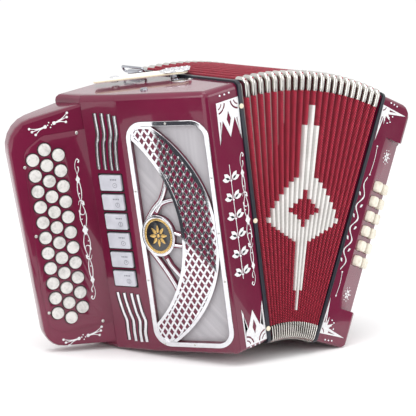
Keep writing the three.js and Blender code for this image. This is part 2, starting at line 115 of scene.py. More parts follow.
CORNER = np.array([-FRONT_WIDTH, 0.0])
RIDGE = CORNER + along(GRILLE_ANGLE) * GRILLE_LENGTH
VALLEY = RIDGE + along(STRIP_ANGLE) * STRIP_LENGTH
grille_face = upright_face(CORNER, along(GRILLE_ANGLE), outward(GRILLE_ANGLE), treble)
strip_face = upright_face(RIDGE, along(STRIP_ANGLE), outward(STRIP_ANGLE), treble)
board_face = upright_face(VALLEY, along(BOARD_ANGLE), outward(BOARD_ANGLE), treble)
front_face = upright_face(np.zeros(2), np.array([-1.0, 0.0]), np.array([0.0, -1.0]), treble)
back_face = upright_face(np.array([0.0, CASE_DEPTH]), np.array([-1.0, 0.0]), np.array([0.0, 1.0]), treble)
bass_front = upright_face(np.zeros(2), np.array([1.0, 0.0]), np.array([0.0, -1.0]), bass)
bass_outer = upright_face(np.array([BASS_WIDTH, 0.0]), np.array([0.0, 1.0]), np.array([1.0, 0.0]), bass)
_f = math.radians(FACET_ANGLE)
facet_face = upright_face(np.array([FACET_START, 0.0]), np.array([math.cos(_f), math.sin(_f)]),
                          np.array([math.sin(_f), -math.cos(_f)]), bass)


def treble_top(p):
    p = np.asarray(p, float)
    return treble(np.column_stack([p[:, 0], p[:, 1], p[:, 2] + CASE_HEIGHT]))


# ---- materials ----
class Surface:
    """A material in the making: node steps on one set of coordinates, fed into a principled shader."""

    def __init__(self, name, kind="Object"):
        self.material = bpy.data.materials.new(name)
        self.material.use_nodes = True
        self.tree = self.material.node_tree
        self.shader = self.tree.nodes["Principled BSDF"]
        self.where = self.add("ShaderNodeTexCoord").outputs[kind]

    def add(self, kind, **values):
        n = self.tree.nodes.new(kind)
        for key, value in values.items():
            if key in n.inputs:
                n.inputs[key].default_value = value
            else:
                setattr(n, key, value)
        return n

    def link(self, source, target):
        self.tree.links.new(source, target)

    def feed(self, socket, source):
        self.link(source, self.shader.inputs[socket])

    def set(self, **values):
        for key, value in values.items():
            self.shader.inputs[key.replace("_", " ")].default_value = value

    def ramp(self, source, *stops):
        r = self.add("ShaderNodeValToRGB")
        for i, (position, color) in ((0, stops[0]), (1, stops[-1])):
            r.color_ramp.elements[i].position = position
            r.color_ramp.elements[i].color = (*color, 1)
        for position, color in stops[1:-1]:
            r.color_ramp.elements.new(position).color = (*color, 1)
        self.link(source, r.inputs["Fac"])
        return r.outputs["Color"]

    def color(self, source, *stops):
        self.feed("Base Color", self.ramp(source, *stops))

    def rough(self, source, low, high, start=0.3, end=0.7):
        self.feed("Roughness", self.ramp(source, (start, (low,) * 3), (end, (high,) * 3)))

    def noise(self, scale, detail=3.0, roughness=0.5, out="Fac"):
        n = self.add("ShaderNodeTexNoise", Scale=scale, Detail=detail, Roughness=roughness)
        self.link(self.where, n.inputs["Vector"])
        return n.outputs[out]

    def cells(self, scale, where=None):
        n = self.add("ShaderNodeTexVoronoi", Scale=scale)
        self.link(where or self.where, n.inputs["Vector"])
        return n.outputs["Distance"]

    def calc(self, operation, *terms):
        n = self.add("ShaderNodeMath", operation=operation)
        for socket, term in zip(n.inputs, terms):
            if isinstance(term, float):
                socket.default_value = term
            else:
                self.link(term, socket)
        return n.outputs[0]

    def axes(self):
        split = self.add("ShaderNodeSeparateXYZ")
        self.link(self.where, split.inputs[0])
        return split.outputs["X"], split.outputs["Y"]

    def turns(self, axis, pitch):
        return self.calc("MULTIPLY", axis, 2 * math.pi / pitch)

    def bump(self, height, strength, distance):
        b = self.add("ShaderNodeBump", Strength=strength, Distance=distance)
        self.link(height, b.inputs["Height"])
        self.feed("Normal", b.outputs["Normal"])
        return self.material


def lacquer(name, dark, light):
    """Deep gloss lacquer: a faint cloud in the colour, fine flow in the surface."""
    s = Surface(name)
    s.color(s.noise(9.0, 4.0, 0.55), (0.3, dark), (0.7, light))
    s.rough(s.noise(60.0, 2.0), 0.16, 0.22)
    s.set(Coat_Weight=0.7, Coat_Roughness=0.03, Specular_IOR_Level=0.3)
    return s.bump(s.noise(35.0, 1.0), 0.05, 0.0006)


def metal(name, base, rough_low, rough_high, scale=120.0):
    s = Surface(name)
    stain = s.noise(scale, 4.0, 0.6)
    s.color(stain, (0.3, tuple(0.86 * c for c in base)), (0.65, base))
    s.rough(s.noise(scale * 3.0, 3.0), rough_low, rough_high)
    s.set(Metallic=1.0)
    return s.bump(stain, 0.08, 0.0002)


def pearl(name, low, high, rough=0.22, scale=170.0):
    """Pearloid: cloudy flakes in the colour under a gloss skin."""
    s = Surface(name)
    mix = s.add("ShaderNodeMix", data_type="VECTOR")
    mix.inputs["Factor"].default_value = 0.03
    s.link(s.where, mix.inputs[4])
    s.link(s.noise(scale * 0.6, 3.0, out="Color"), mix.inputs[5])
    flake = s.cells(scale, mix.outputs[1])
    cloud = s.noise(scale * 0.35, 4.0, 0.6)
    s.color(s.calc("MULTIPLY_ADD", flake, 0.45, cloud), (0.42, low), (0.82, high))
    s.set(Roughness=rough, Coat_Weight=0.6, Coat_Roughness=0.08)
    return s.bump(flake, 0.05, 0.0002)


def weave(name, dark, light, pitch, rough, sheen, depth, kind="UV"):
    """A plain weave: two crossed sets of threads, pitch in metres, in the given coordinates."""
    s = Surface(name, kind)
    threads = [s.calc("ABSOLUTE", s.calc("SINE", s.turns(axis, 2 * pitch))) for axis in s.axes()]
    thread = s.calc("MULTIPLY", *threads)
    cloud = s.noise(0.06 / pitch, 3.0)
    tone = s.calc("MULTIPLY_ADD", thread, 0.6, s.calc("MULTIPLY", cloud, 0.6))
    s.color(tone, (0.2, dark), (0.8, light))
    s.set(Roughness=rough, Sheen_Weight=sheen)
    return s.bump(thread, 0.7, depth)


def ribbed(name, dark, light, pitch):
    """A thin stretched cloth: close warp threads with a soft rib at each pitch along X."""
    s = Surface(name, "UV")
    x, y = s.axes()
    rib = s.calc("SINE", s.turns(x, pitch))
    warp = s.calc("SINE", s.turns(y, 0.0009))
    both = s.calc("MULTIPLY_ADD", rib, 0.6, s.calc("MULTIPLY", warp, 0.3))
    tone = s.calc("MULTIPLY_ADD", both, 0.22, s.noise(22.0, 3.0))
    s.color(tone, (0.15, dark), (0.85, light))
    s.set(Roughness=0.5, Sheen_Weight=0.1)
    return s.bump(both, 0.3, 0.00006)


def leather(name, dark, light, rough, scale=420.0):
    s = Surface(name)
    grain = s.cells(scale)
    s.color(s.noise(scale * 0.08, 5.0, 0.6), (0.3, dark), (0.7, light))
    s.rough(grain, rough, rough + 0.15, 0.0, 0.8)
    return s.bump(grain, 0.35, 0.00018)


def plastic(name, dark, light, rough=0.3, scale=90.0, coat=0.4):
    s = Surface(name)
    s.color(s.noise(scale, 4.0, 0.6), (0.3, dark), (0.7, light))
    s.rough(s.noise(scale * 5), rough, rough + 0.08)
    s.set(Coat_Weight=coat, Coat_Roughness=0.1)
    return s.bump(s.noise(scale * 8, 2.0), 0.06, 0.0001)


def brocade(name, deep, middle, bright):
    """The bellows cloth: red, with a braided cord along each fold. UV is in metres on the cloth."""
    s = Surface(name, "UV")
    x, y = s.axes()
    braid = s.calc("SINE", s.calc("ADD", s.turns(y, 0.0030), s.turns(x, 0.0052)))
    tone = s.calc("MULTIPLY_ADD", braid, 0.40, s.noise(260.0, 3.0))
    s.color(tone, (0.2, deep), (0.5, middle), (0.85, bright))
    s.set(Roughness=0.5, Specular_IOR_Level=0.32, Sheen_Weight=0.04, Sheen_Roughness=0.4)
    return s.bump(braid, 0.9, 0.0005)


RED = lacquer("burgundy_lacquer", (0.112, 0.004, 0.026), (0.148, 0.007, 0.036))
CHROME = metal("chrome_plate", (0.82, 0.82, 0.85), 0.09, 0.17)
LATTICE = metal("chrome_lattice", (0.80, 0.80, 0.83), 0.025, 0.06)
ROD_CHROME = metal("chrome_rod", (0.42, 0.43, 0.47), 0.08, 0.16)
NICKEL = metal("nickel_corner", (0.66, 0.64, 0.61), 0.13, 0.22, 40.0)
GOLD = metal("gold_ring", (0.83, 0.55, 0.2), 0.22, 0.34)
SCREW = metal("screw_steel", (0.62, 0.61, 0.58), 0.25, 0.4, 300.0)
PEARL = pearl("button_pearl", (0.40, 0.385, 0.37), (0.64, 0.62, 0.60))
CREAM = pearl("bass_button_cream", (0.50, 0.44, 0.33), (0.74, 0.69, 0.58), 0.25, 110.0)
TAB = plastic("tab_white", (0.44, 0.44, 0.49), (0.55, 0.55, 0.60), 0.28)
INLAY = plastic("inlay_white", (0.62, 0.62, 0.64), (0.80, 0.80, 0.81), 0.35, 300.0)
INK = plastic("label_ink", (0.10, 0.10, 0.13), (0.17, 0.17, 0.20), 0.5, 500.0, 0.0)
BLACK = plastic("badge_black", (0.008, 0.008, 0.010), (0.016, 0.016, 0.02), 0.2, 200.0, 1.0)
RUBBER = plastic("gasket_black", (0.004, 0.006, 0.012), (0.010, 0.014, 0.026), 0.34, 120.0, 0.1)
# Flat black laid as painted shade in the gaps round the buttons, round the tab windows and under the slot
# bars.
PAINTED_SHADE = plastic("painted_shade_black", (0.004, 0.004, 0.005), (0.010, 0.008, 0.009), 0.8, 500.0, 0.0)
CLOTH = ribbed("grille_cloth", (0.30, 0.285, 0.31), (0.50, 0.485, 0.505), 0.0034)
BROCADE = brocade("bellows_brocade", (0.10, 0.002, 0.012), (0.30, 0.006, 0.026), (0.60, 0.03, 0.07))
# The deep part of each fold gets a darker copy of the cloth: painted shade in the creases.
PAINTED_FOLD_SHADE = brocade("bellows_fold_painted_shade", (0.05, 0.002, 0.008), (0.10, 0.004, 0.014), (0.16, 0.007, 0.022))
TAPE = weave("bellows_white_tape", (0.52, 0.50, 0.48), (0.80, 0.785, 0.765), 0.0016, 0.5, 0.1, 0.00015)
LINING = weave("bellows_lining", (0.62, 0.60, 0.58), (0.86, 0.84, 0.82), 0.0012, 0.7, 0.2, 0.0001)
WHITE_LEATHER = leather("strap_white_leather", (0.70, 0.69, 0.66), (0.86, 0.855, 0.83), 0.42)
EDGE_LEATHER = leather("strap_cut_edge", (0.72, 0.64, 0.47), (0.86, 0.79, 0.62), 0.65, 700.0)
HAND_LEATHER = leather("hand_strap_leather", (0.016, 0.014, 0.013), (0.035, 0.03, 0.028), 0.45, 300.0)
THREAD = weave("stitch_thread", (0.55, 0.52, 0.46), (0.80, 0.77, 0.70), 0.0006, 0.8, 0.2, 0.0001, "Object")
BONE = plastic("pin_head_cream", (0.66, 0.57, 0.40), (0.82, 0.75, 0.60), 0.25, 200.0)
WHEEL_BLACK = plastic("wheel_black", (0.012, 0.012, 0.014), (0.03, 0.03, 0.033), 0.32, 200.0)
GEM = plastic("rhinestone", (0.72, 0.74, 0.80), (0.92, 0.93, 0.97), 0.06, 400.0, 1.0)


# ---- making pieces ----
def raw_mesh(name, points, faces):
    mesh = bpy.data.meshes.new(name)
    mesh.from_pydata([tuple(p) for p in points], [], faces)
    return mesh


def faces_out(mesh, merge=0.0):
    bm = bmesh.new()
    bm.from_mesh(mesh)
    if merge:
        bmesh.ops.remove_doubles(bm, verts=bm.verts, dist=merge)
    bmesh.ops.recalc_face_normals(bm, faces=bm.faces)
    bm.to_mesh(mesh)
    bm.free()


def smooth(mesh, sharp):
    for polygon in mesh.polygons:
        polygon.use_smooth = True
    mesh.set_sharp_from_angle(angle=math.radians(sharp))


def add_object(name, data):
    obj = bpy.data.objects.new(name, data)
    scene.collection.objects.link(obj)
    return obj


def finish_piece(name, mesh, mat, body, slot=None, sharp=35.0, replaces=()):
    faces_out(mesh, 1e-7)
    smooth(mesh, sharp)
    mesh.materials.append(mat)
    obj = add_object(name, mesh)
    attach(obj, body)
    if replaces:
        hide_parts(*replaces)
    return obj


def new_curve(name, **settings):
    curve = bpy.data.curves.new(name, "CURVE")
    for key, value in settings.items():
        setattr(curve, key, value)
    return curve


def add_loop(curve, points, cyclic=True, radii=None):
    spline = curve.splines.new("POLY")
    spline.points.add(len(points) - 1)
    for i, p in enumerate(points):
        spline.points[i].co = (p[0], p[1], p[2] if len(p) > 2 else 0.0, 1.0)
        if radii is not None:
            spline.points[i].radius = radii[i]
    spline.use_cyclic_u = cyclic


def placed(name, curve, face, squash, lift):
    """The curve's mesh, squashed, lifted off the face and put in its place, and its flat coordinates."""
    temp = add_object(name + "_curve", curve)
    graph = bpy.context.evaluated_depsgraph_get()
    graph.update()
    mesh = bpy.data.meshes.new_from_object(temp.evaluated_get(graph))
    bpy.data.objects.remove(temp)
    bpy.data.curves.remove(curve)
    mesh.name = name
    mesh.materials.clear()
    co = np.empty(len(mesh.vertices) * 3)
    mesh.vertices.foreach_get("co", co)
    co = co.reshape(-1, 3)
    flat = co[:, :2] / 1000.0
    co[:, 2] = co[:, 2] * squash + lift
    mesh.vertices.foreach_set("co", face(co).ravel())
    return mesh, flat


def flat_uv(mesh, values):
    layer = mesh.uv_layers.new(name="UVMap")
    loops = np.empty(len(mesh.loops), int)
    mesh.loops.foreach_get("vertex_index", loops)
    layer.data.foreach_set("uv", values[loops].astype(np.float32).ravel())


def plate(name, face, loops, lift, thick, edge, mat, body, uv=False, **more):
    """A flat plate with rounded edges on a face. The first loop is its outline and the rest are holes."""
    curve = new_curve(name, dimensions="2D", fill_mode="BOTH", extrude=max(thick / 2 - edge, 0.0),
                      bevel_depth=edge, bevel_resolution=1, offset=-edge)
    for points in loops:
        add_loop(curve, points)
    mesh, flat = placed(name, curve, face, 1.0, lift + thick / 2)
    if uv:
        flat_uv(mesh, flat)
    return finish_piece(name, mesh, mat, body, **more)


def wire(name, face, paths, radius, lift, mat, body, squash=1.0, sides=2, **more):
    """Rounded rods along paths of (a, b[, n]). A path is (points, closed, radii or None)."""
    curve = new_curve(name, dimensions="3D", bevel_depth=radius, bevel_resolution=sides, use_fill_caps=True)
    for path in paths:
        add_loop(curve, *path)
    mesh, _ = placed(name, curve, face, squash, lift)
    return finish_piece(name, mesh, mat, body, sharp=60.0, **more)


def lathe(name, face, profile, spots, mat, body, steps=32, wave=None, **more):
    """A turned piece at each spot. The profile is (radius, height off the face), with its ends on the axis.
    A wave of (count, height, from radius) knurls the rim."""
    verts, faces = [], []
    for a, b in spots:
        rings = []
        for r, h in profile:
            start = len(verts)
            if r < 1e-6:
                verts.append((a, b, h))
                rings.append([start])
                continue
            for k in range(steps):
                t = 2 * math.pi * k / steps
                rr = r * (1.0 + (wave[1] / r * math.cos(wave[0] * t) if wave and r > wave[2] else 0.0))
                verts.append((a + rr * math.cos(t), b + rr * math.sin(t), h))
            rings.append(list(range(start, start + steps)))
        for low, high in zip(rings, rings[1:]):
            for k in range(steps):
                j = (k + 1) % steps
                if len(low) == 1:
                    faces.append((low[0], high[k], high[j]))
                elif len(high) == 1:
                    faces.append((low[k], low[j], high[0]))
                else:
                    faces.append((low[k], low[j], high[j], high[k]))
    return finish_piece(name, raw_mesh(name, face(np.array(verts)), faces), mat, body, **more)


def inlay(name, face, loops, body, lift=0.02, thick=0.5, edge=0.15):
    plate(name, face, loops, lift, thick, edge, INLAY, body)


def stones(name, face, spots, body, foot, shoulder, height, top, lift=0.0):
    lathe(name, face, [(0, lift), (foot, lift), (shoulder, height), (0, top)], spots, GEM, body, 8, sharp=20)


def slab_faces(rows, cols, base=0):
    """The faces of a closed slab made of two layers of rows by cols points."""
    faces = []
    size = rows * cols
    for i in range(rows - 1):
        for j in range(cols - 1):
            a = base + i * cols + j
            faces.append((a, a + 1, a + cols + 1, a + cols))
            faces.append((a + size, a + cols + size, a + cols + 1 + size, a + 1 + size))
        for j in (0, cols - 1):
            a = base + i * cols + j
            faces.append((a, a + cols, a + cols + size, a + size))
    for i in (0, rows - 1):
        for j in range(cols - 1):
            a = base + i * cols + j
            faces.append((a, a + size, a + 1 + size, a + 1))
    return faces


def arc(cx, cy, r, start, end, steps, squeeze=1.0):
    out = []
    for k in range(steps + 1):
        t = math.radians(start + (end - start) * k / steps)
        out.append((cx + r * math.cos(t), cy + r * squeeze * math.sin(t)))
    return out


def circle(cx, cy, r, steps=32, squeeze=1.0):
    return arc(cx, cy, r, 0, 360, steps, squeeze)[:-1]


def rounded_box(x0, y0, x1, y1, r, steps=8):
    return (arc(x1 - r, y1 - r, r, 0, 90, steps) + arc(x0 + r, y1 - r, r, 90, 180, steps)
            + arc(x0 + r, y0 + r, r, 180, 270, steps) + arc(x1 - r, y0 + r, r, 270, 360, steps))


def smooth_path(points, steps=8):
    """A Catmull-Rom curve through the points."""
    p = [np.array(q, float) for q in points]
    p = [2 * p[0] - p[1]] + p + [2 * p[-1] - p[-2]]
    out = []
    for i in range(1, len(p) - 2):
        for k in range(steps):
            t = k / steps
            a, b, c, d = p[i - 1], p[i], p[i + 1], p[i + 2]
            out.append(tuple(0.5 * (2 * b + (c - a) * t + (2 * a - 5 * b + 4 * c - d) * t * t
                                    + (3 * b - a - 3 * c + d) * t ** 3)))
    out.append(tuple(p[-2]))
    return out


def softened(points, radii, steps=5):
    """A polygon with its corners rounded."""
    out = []
    n = len(points)
    for i, p in enumerate(points):
        p = np.array(p, float)
        a = np.array(points[i - 1], float) - p
        b = np.array(points[(i + 1) % n], float) - p
        r = radii[i] if isinstance(radii, (list, tuple)) else radii
        if r <= 0:
            out.append(tuple(p))
            continue
        a, b = a / np.linalg.norm(a), b / np.linalg.norm(b)
        half = math.acos(max(-1.0, min(1.0, float(a @ b)))) / 2
        reach = r / math.tan(half)
        start, end = p + a * reach, p + b * reach
        for k in range(steps + 1):
            t = k / steps
            out.append(tuple((1 - t) ** 2 * start + 2 * t * (1 - t) * p + t * t * end))
    return out


# ---- the CAD nodes that stay: their own finish and softened edges ----
def crease(mesh, wide=0.010, angle=4.0):
    """Mark the edges between two wide flat faces sharp, so that only the narrow strips shade smoothly."""
    spots = {}
    ids = [spots.setdefault(tuple(round(c * 1e5) for c in v.co), len(spots)) for v in mesh.vertices]
    sides = {}
    for polygon in mesh.polygons:
        for a, b in polygon.edge_keys:
            sides.setdefault((min(ids[a], ids[b]), max(ids[a], ids[b])), []).append(polygon.index)
    parent = list(range(len(mesh.polygons)))

    def find(i):
        while parent[i] != i:
            parent[i] = parent[parent[i]]
            i = parent[i]
        return i

    normals = [p.normal.copy() for p in mesh.polygons]
    for pair in sides.values():
        if len(pair) == 2 and normals[pair[0]].dot(normals[pair[1]]) > math.cos(math.radians(1.0)):
            parent[find(pair[0])] = find(pair[1])
    area, low, high = {}, {}, {}
    for polygon in mesh.polygons:
        root = find(polygon.index)
        area[root] = area.get(root, 0.0) + polygon.area
        for v in polygon.vertices:
            co = np.array(mesh.vertices[v].co)
            low[root] = np.minimum(low.get(root, co), co)
            high[root] = np.maximum(high.get(root, co), co)
    width = {r: area[r] / max(float(np.linalg.norm(high[r] - low[r])), 1e-6) for r in area}
    limit = math.cos(math.radians(angle))
    hard = {key for key, pair in sides.items()
            if len(pair) == 2 and normals[pair[0]].dot(normals[pair[1]]) < limit
            and min(width[find(pair[0])], width[find(pair[1])]) > wide}
    for edge in mesh.edges:
        a, b = (ids[v] for v in edge.vertices)
        if (min(a, b), max(a, b)) in hard:
            edge.use_edge_sharp = True


def keep_node(name, mat, bevel=0.0):
    obj = NODES[name]
    obj.data.materials.clear()
    obj.data.materials.append(mat)
    for polygon in obj.data.polygons:
        polygon.use_smooth = True
    crease(obj.data)
    weld = obj.modifiers.new("weld", "WELD")
    weld.merge_threshold = 0.00002
    if bevel:
        b = obj.modifiers.new("edge", "BEVEL")
        b.width = bevel
        b.segments = 2
        b.limit_method = "ANGLE"
        b.angle_limit = math.radians(38)
        b.harden_normals = False
    w = obj.modifiers.new("normals", "WEIGHTED_NORMAL")
    w.keep_sharp = True
    w.weight = 90


keep_node("treble_case", RED, 0.0008)
keep_node("treble_grille", RED, 0.0006)
keep_node("bass_case", RED, 0.0008)


# ---- fingerboard: plate, buttons, screws and inlay ----
buttons = []
for row, count in enumerate(BUTTON_ROWS):
    for k in range(count):
        u = BUTTON_FIRST_ROW + row * BUTTON_ROW_GAP
        z = BUTTON_MIDDLE + ((count - 1) / 2 - k) * BUTTON_PITCH
        buttons.append((f"treble_button_{row + 1}_{k + 1:02d}", u, z))

board = softened([(-1.0, 36.8), (62, 38.0), (77.0, 50), (80.0, 100), (73.5, 262), (50, 275.5), (-1.0, 273.5)],
                 [0, 16, 10, 30, 16, 16, 0], 8)
plate("fingerboard_plate", board_face, [board] + [circle(u, z, 8.0, 28) for _, u, z in buttons],
      0.05, 0.7, 0.3, RED, "treble", slot="lacquer")

# A black ring round each button hole: painted shade for the dark gap between button and plate.
plate("button_painted_shade_rings", board_face,
      [c for _, u, z in buttons for c in (circle(u, z, 8.45, 28), circle(u, z, 7.4, 28))],
      0.5, 0.3, 0.08, PAINTED_SHADE, "treble")
button_profile = [(0, -5.0), (7.25, -5.0), (7.25, 2.6), (7.15, 3.1), (6.9, 3.5), (6.5, 3.8), (5.9, 3.95),
                  (4.0, 4.1), (2.0, 4.2), (0, 4.25)]
for name, u, z in buttons:
    lathe(name + "_cap", board_face, button_profile, [(u, z)], PEARL, name, steps=40, slot="button_pearl",
          replaces=(name,), sharp=50)

screw = [(0, 0.0), (1.9, 0.0), (1.9, 0.35), (1.5, 0.8), (0.8, 1.0), (0.35, 1.02), (0.3, 0.7), (0, 0.7)]
lathe("fingerboard_screws", board_face, [(r, h + 0.7) for r, h in screw],
      [(75.0, 243.5), (9.4, 271.0), (75.2, 161), (75.0, 66.5), (12.7, 40.5)], SCREW, "treble", 20,
      slot="chrome")


def scroll_paths(a, z0, z1, width, bend=0.0):
    """A vine of two crossing waves with a teardrop curl at each end."""
    n = 90
    length = z1 - z0
    paths = []
    for side in (1, -1):
        pts, radii = [], []
        for k in range(n + 1):
            t = k / n
            swing = math.sin(2 * math.pi * 2.0 * (t - 0.5)) * (math.sin(math.pi * t) ** 0.7)
            pts.append((a + bend * (t - 0.5) + side * width * 0.5 * swing, z0 + length * (0.1 + 0.8 * t)))
            radii.append(0.55 + 0.45 * abs(math.sin(2 * math.pi * 2.0 * (t - 0.5))))
        paths.append((pts, False, radii))
    for end, start in ((1, z0 + 0.1 * length), (-1, z1 - 0.1 * length)):
        shift = a - bend * 0.4 * end
        tail = smooth_path([(shift + x * end, start + y * end) for x, y in
                            ((0, 0), (-1.2, -7), (-0.2, -13), (2.4, -17), (4.4, -14.5), (3.0, -12.5))], 7)
        radii = [0.5 + 1.4 * (k / (len(tail) - 1)) ** 2 for k in range(len(tail))]
        paths.append((tail, False, radii))
        leaf = smooth_path([(shift + x * end, start + y * end) for x, y in ((0, 1), (2.6, -4), (2.2, -8))], 6)
        paths.append((leaf, False, [0.5 + 0.9 * k / (len(leaf) - 1) for k in range(len(leaf))]))
    for t in (0.34, 0.66):
        z = z0 + length * t
        for side in (1, -1):
            curl = smooth_path([(a - side * 3.4, z - side * 4), (a - side * 1.5, z - side * 8.5),
                                (a + side * 2.6, z - side * 7), (a + side * 3.0, z - side * 2.5)], 7)
            paths.append((curl, False, [0.4 + 1.9 * (k / (len(curl) - 1)) ** 1.5 for k in range(len(curl))]))
    return paths


def lozenge(a, z, w, h):
    return [(a - w, z), (a, z - h), (a + w, z), (a, z + h)]


def scroll(prefix, face, a, z0, z1, width, lift, body, bend=0.0):
    wire(prefix + "_vine", face, scroll_paths(a, z0, z1, width, bend), 0.5, lift, INLAY, body, squash=0.35)
    middle = (z0 + z1) / 2
    for label, z, w, h in (("low", z0 + 0.14 * (z1 - z0), 2.6, 5.2), ("middle", middle, 3.6, 6.6),
                           ("high", z1 - 0.14 * (z1 - z0), 2.6, 5.2)):
        inlay(f"{prefix}_lozenge_{label}", face, [lozenge(a + bend * (z - middle) / (z1 - z0), z, w, h)],
              body, lift - 0.1, 0.45, 0.12)
    dots = [(a + d, z0 + f * (z1 - z0))
            for f, d in ((0.24, 0), (0.31, 1.8), (0.42, -1.8), (0.58, 1.8), (0.69, -1.8), (0.76, 0))]
    lathe(prefix + "_dots", face, [(0, lift - 0.2), (0.75, lift - 0.2), (0.7, lift + 0.35), (0, lift + 0.5)],
          dots, INLAY, body, 12)


scroll("fingerboard_scroll", board_face, 17.0, 70, 241, 8.0, 0.85, "treble", bend=-1.5)


def sprig(name, face, a, z, span, tilt, lift, body):
    """Two mirrored sprays of stems with round flower heads, and small dots between them."""
    stems, heads = [], []
    ct, st = math.cos(math.radians(tilt)), math.sin(math.radians(tilt))

    def at(x, y):
        return a + x * ct - y * st, z + x * st + y * ct

    for side in (1, -1):
        root = (side * span * 0.12, 0.0)
        for reach, rise in ((0.50, 5.0), (0.46, 0.6), (0.40, -4.2)):
            tip = (side * span * reach, rise)
            bend = (side * span * (reach * 0.55 + 0.05), rise * 0.25)
            path = smooth_path([at(*root), at(*bend), at(*tip)], 6)
            stems.append((path, False, [1.5 - 0.9 * k / (len(path) - 1) for k in range(len(path))]))
            heads.append((at(*tip), 1.5))
        heads.append((at(*root), 2.1))
    for x, y in ((0, 3.0), (0, -3.0), (2.2, 0.6), (-2.2, -0.6)):
        heads.append((at(x, y), 0.8))
    wire(name + "_stems", face, stems, 0.5, lift, INLAY, body, squash=0.4)
    for radius in sorted({r for _, r in heads}):
        lathe(f"{name}_heads_{int(radius * 10)}", face,
              [(0, lift - 0.15), (radius, lift - 0.15), (radius * 0.9, lift + 0.3), (0, lift + 0.45)],
              [spot for spot, r in heads if r == radius], INLAY, body, 16)


sprig("fingerboard_sprig_top", board_face, 38.8, 286, 47, -12, 0.15, "treble")
sprig("fingerboard_sprig_bottom", board_face, 38.8, 26.5, 48, -5, 0.15, "treble")


# ---- register strip: slot bars and tab marks ----
def slot_bar(top, bend_at, bottom, shift):
    (a0, z0), (a1, z1), (a2, z2) = top, bend_at, bottom
    return smooth_path([(a0, z0), (a0 * 0.75 + a1 * 0.25, z0 * 0.7 + z1 * 0.3), (a1, z1 + 5),
                        (a1 + shift, z1 - 6), (a2 - shift * 0.1, z2 + 12), (a2, z2)], 6)


# Each bar's top, bend and foot.
UPPER = [((29.1, 292), (28.6, 262), (33.8, 226)), ((20.0, 292), (19.8, 262), (25.0, 225.5)),
         ((10.8, 291), (11.0, 262), (16.4, 225)), ((3.6, 289), (3.8, 262), (9.2, 225))]
LOWER = [((34.2, 75), (30.2, 46), (27.2, 15)), ((25.4, 74.5), (21.2, 46), (18.4, 14)),
         ((15.4, 74.5), (12.2, 46), (10.4, 13.5)), ((7.3, 73.5), (4.4, 46), (3.4, 14))]
for label, shapes, shift in (("upper", UPPER, 3.0), ("lower", LOWER, -3.0)):
    bars = [slot_bar(*shape, shift) for shape in shapes]
    paths = [(p, False, None) for p in bars]
    wire(f"slot_bars_{label}", strip_face, paths, 2.1, 0.6, CHROME, "treble", squash=0.6, sides=3,
         slot="chrome")
    # A thin black strip under each bar, shifted a little to one side: painted shadow along the bars.
    shade = [([(a + 0.5, z) for a, z in p], False, None) for p in bars]
    wire(f"slot_liners_{label}", strip_face, shade, 3.1, 0.0, PAINTED_SHADE, "treble", squash=0.07)

for k in range(6):
    z = TAB_MIDDLE + (2.5 - k) * TAB_PITCH
    name = f"register_tab_{k + 1}"
    keep_node(name, TAB, 0.0003)
    s = TAB_EDGE
    # A black ring round each tab's window: painted shade in the gap round the tab.
    window_shade = [rounded_box(s - 2.0, z - 11.0, s + 30.7, z + 11.0, 1.4),
             rounded_box(s - 0.7, z - 9.7, s + 29.4, z + 9.7, 1.0)]
    plate(f"{name}_window_painted_shade", strip_face, window_shade, 0.03, 0.22, 0.06, PAINTED_SHADE, "treble")
    ring = [circle(s + 8.2, z - 2.6, 2.9, 24), circle(s + 8.2, z - 2.6, 2.45, 24)]
    plate(f"{name}_mark_ring", strip_face, ring, 3.02, 0.12, 0.04, INK, name)
    dots = [(s + 8.2, z - 2.6 + dz) for dz in (0, 1.4, -1.4)][: 1 + k % 3]
    lathe(f"{name}_mark_dots", strip_face, [(0, 3.0), (0.55, 3.0), (0.5, 3.12), (0, 3.14)],
          dots, INK, name, 12)
    bars = [[(s + a - i * 2.2, z + b) for a, b in ((13.5, 3.4), (12.2, 3.4), (12.2, 5.0), (13.5, 5.0))]
            for i in range(4)]
    plate(f"{name}_mark_bars", strip_face, bars, 3.02, 0.12, 0.03, INK, name)


# ---- grille: cloth, frame, lattice band, struts and badge ----
OPENING = (7.0, 15.0, 97.0, 275.8)
OPENING_CORNER = 15.5
cloth = plate("grille_cloth", grille_face, [rounded_box(2.5, 11, 101.5, 280, 12)], -5.9, 0.4, 0.1, CLOTH,
              "treble", uv=True)
plate("grille_frame", grille_face,
      [rounded_box(1.4, 9.2, 102.6, 281.4, 21, 10), rounded_box(*OPENING, OPENING_CORNER, 10)],
      0.02, 1.5, 0.45, LATTICE, "treble", slot="chrome", sharp=12)
lathe("grille_frame_screws", grille_face, [(r * 0.75, h * 0.8 + 1.5) for r, h in screw],
      [(4.2, 92), (4.2, 150), (4.2, 215), (99.8, 92), (99.8, 200), (52, 278.5), (52, 12.2), (90, 12.6)],
      SCREW, "treble", 16)

# The two arcs that bound the lattice band: centre and radius.
RIGHT = (164.1, 146.7, 158.5)
LEFT = (207.0, 149.5, 157.0)


def edge_of(bound, z, grow=0.0):
    cx, cy, r = bound
    return cx - math.sqrt(max((r + grow) ** 2 - (z - cy) ** 2, 0.0))


def rim_limit(z, margin):
    """How far along the face the inside of the frame reaches at this height: (near, far)."""
    low, high, r = OPENING[1] + margin, OPENING[3] - margin, OPENING_CORNER - margin
    d = 0.0
    if z > high - r:
        d = r - math.sqrt(max(r * r - (z - high + r) ** 2, 0.0))
    if z < low + r:
        d = r - math.sqrt(max(r * r - (low + r - z) ** 2, 0.0))
    return OPENING[0] + margin + d, OPENING[2] - margin - d


def band_limits(z, inset):
    near, far = rim_limit(z, inset * 0.4)
    return max(edge_of(RIGHT, z, -inset), near), min(edge_of(LEFT, z, inset), far)


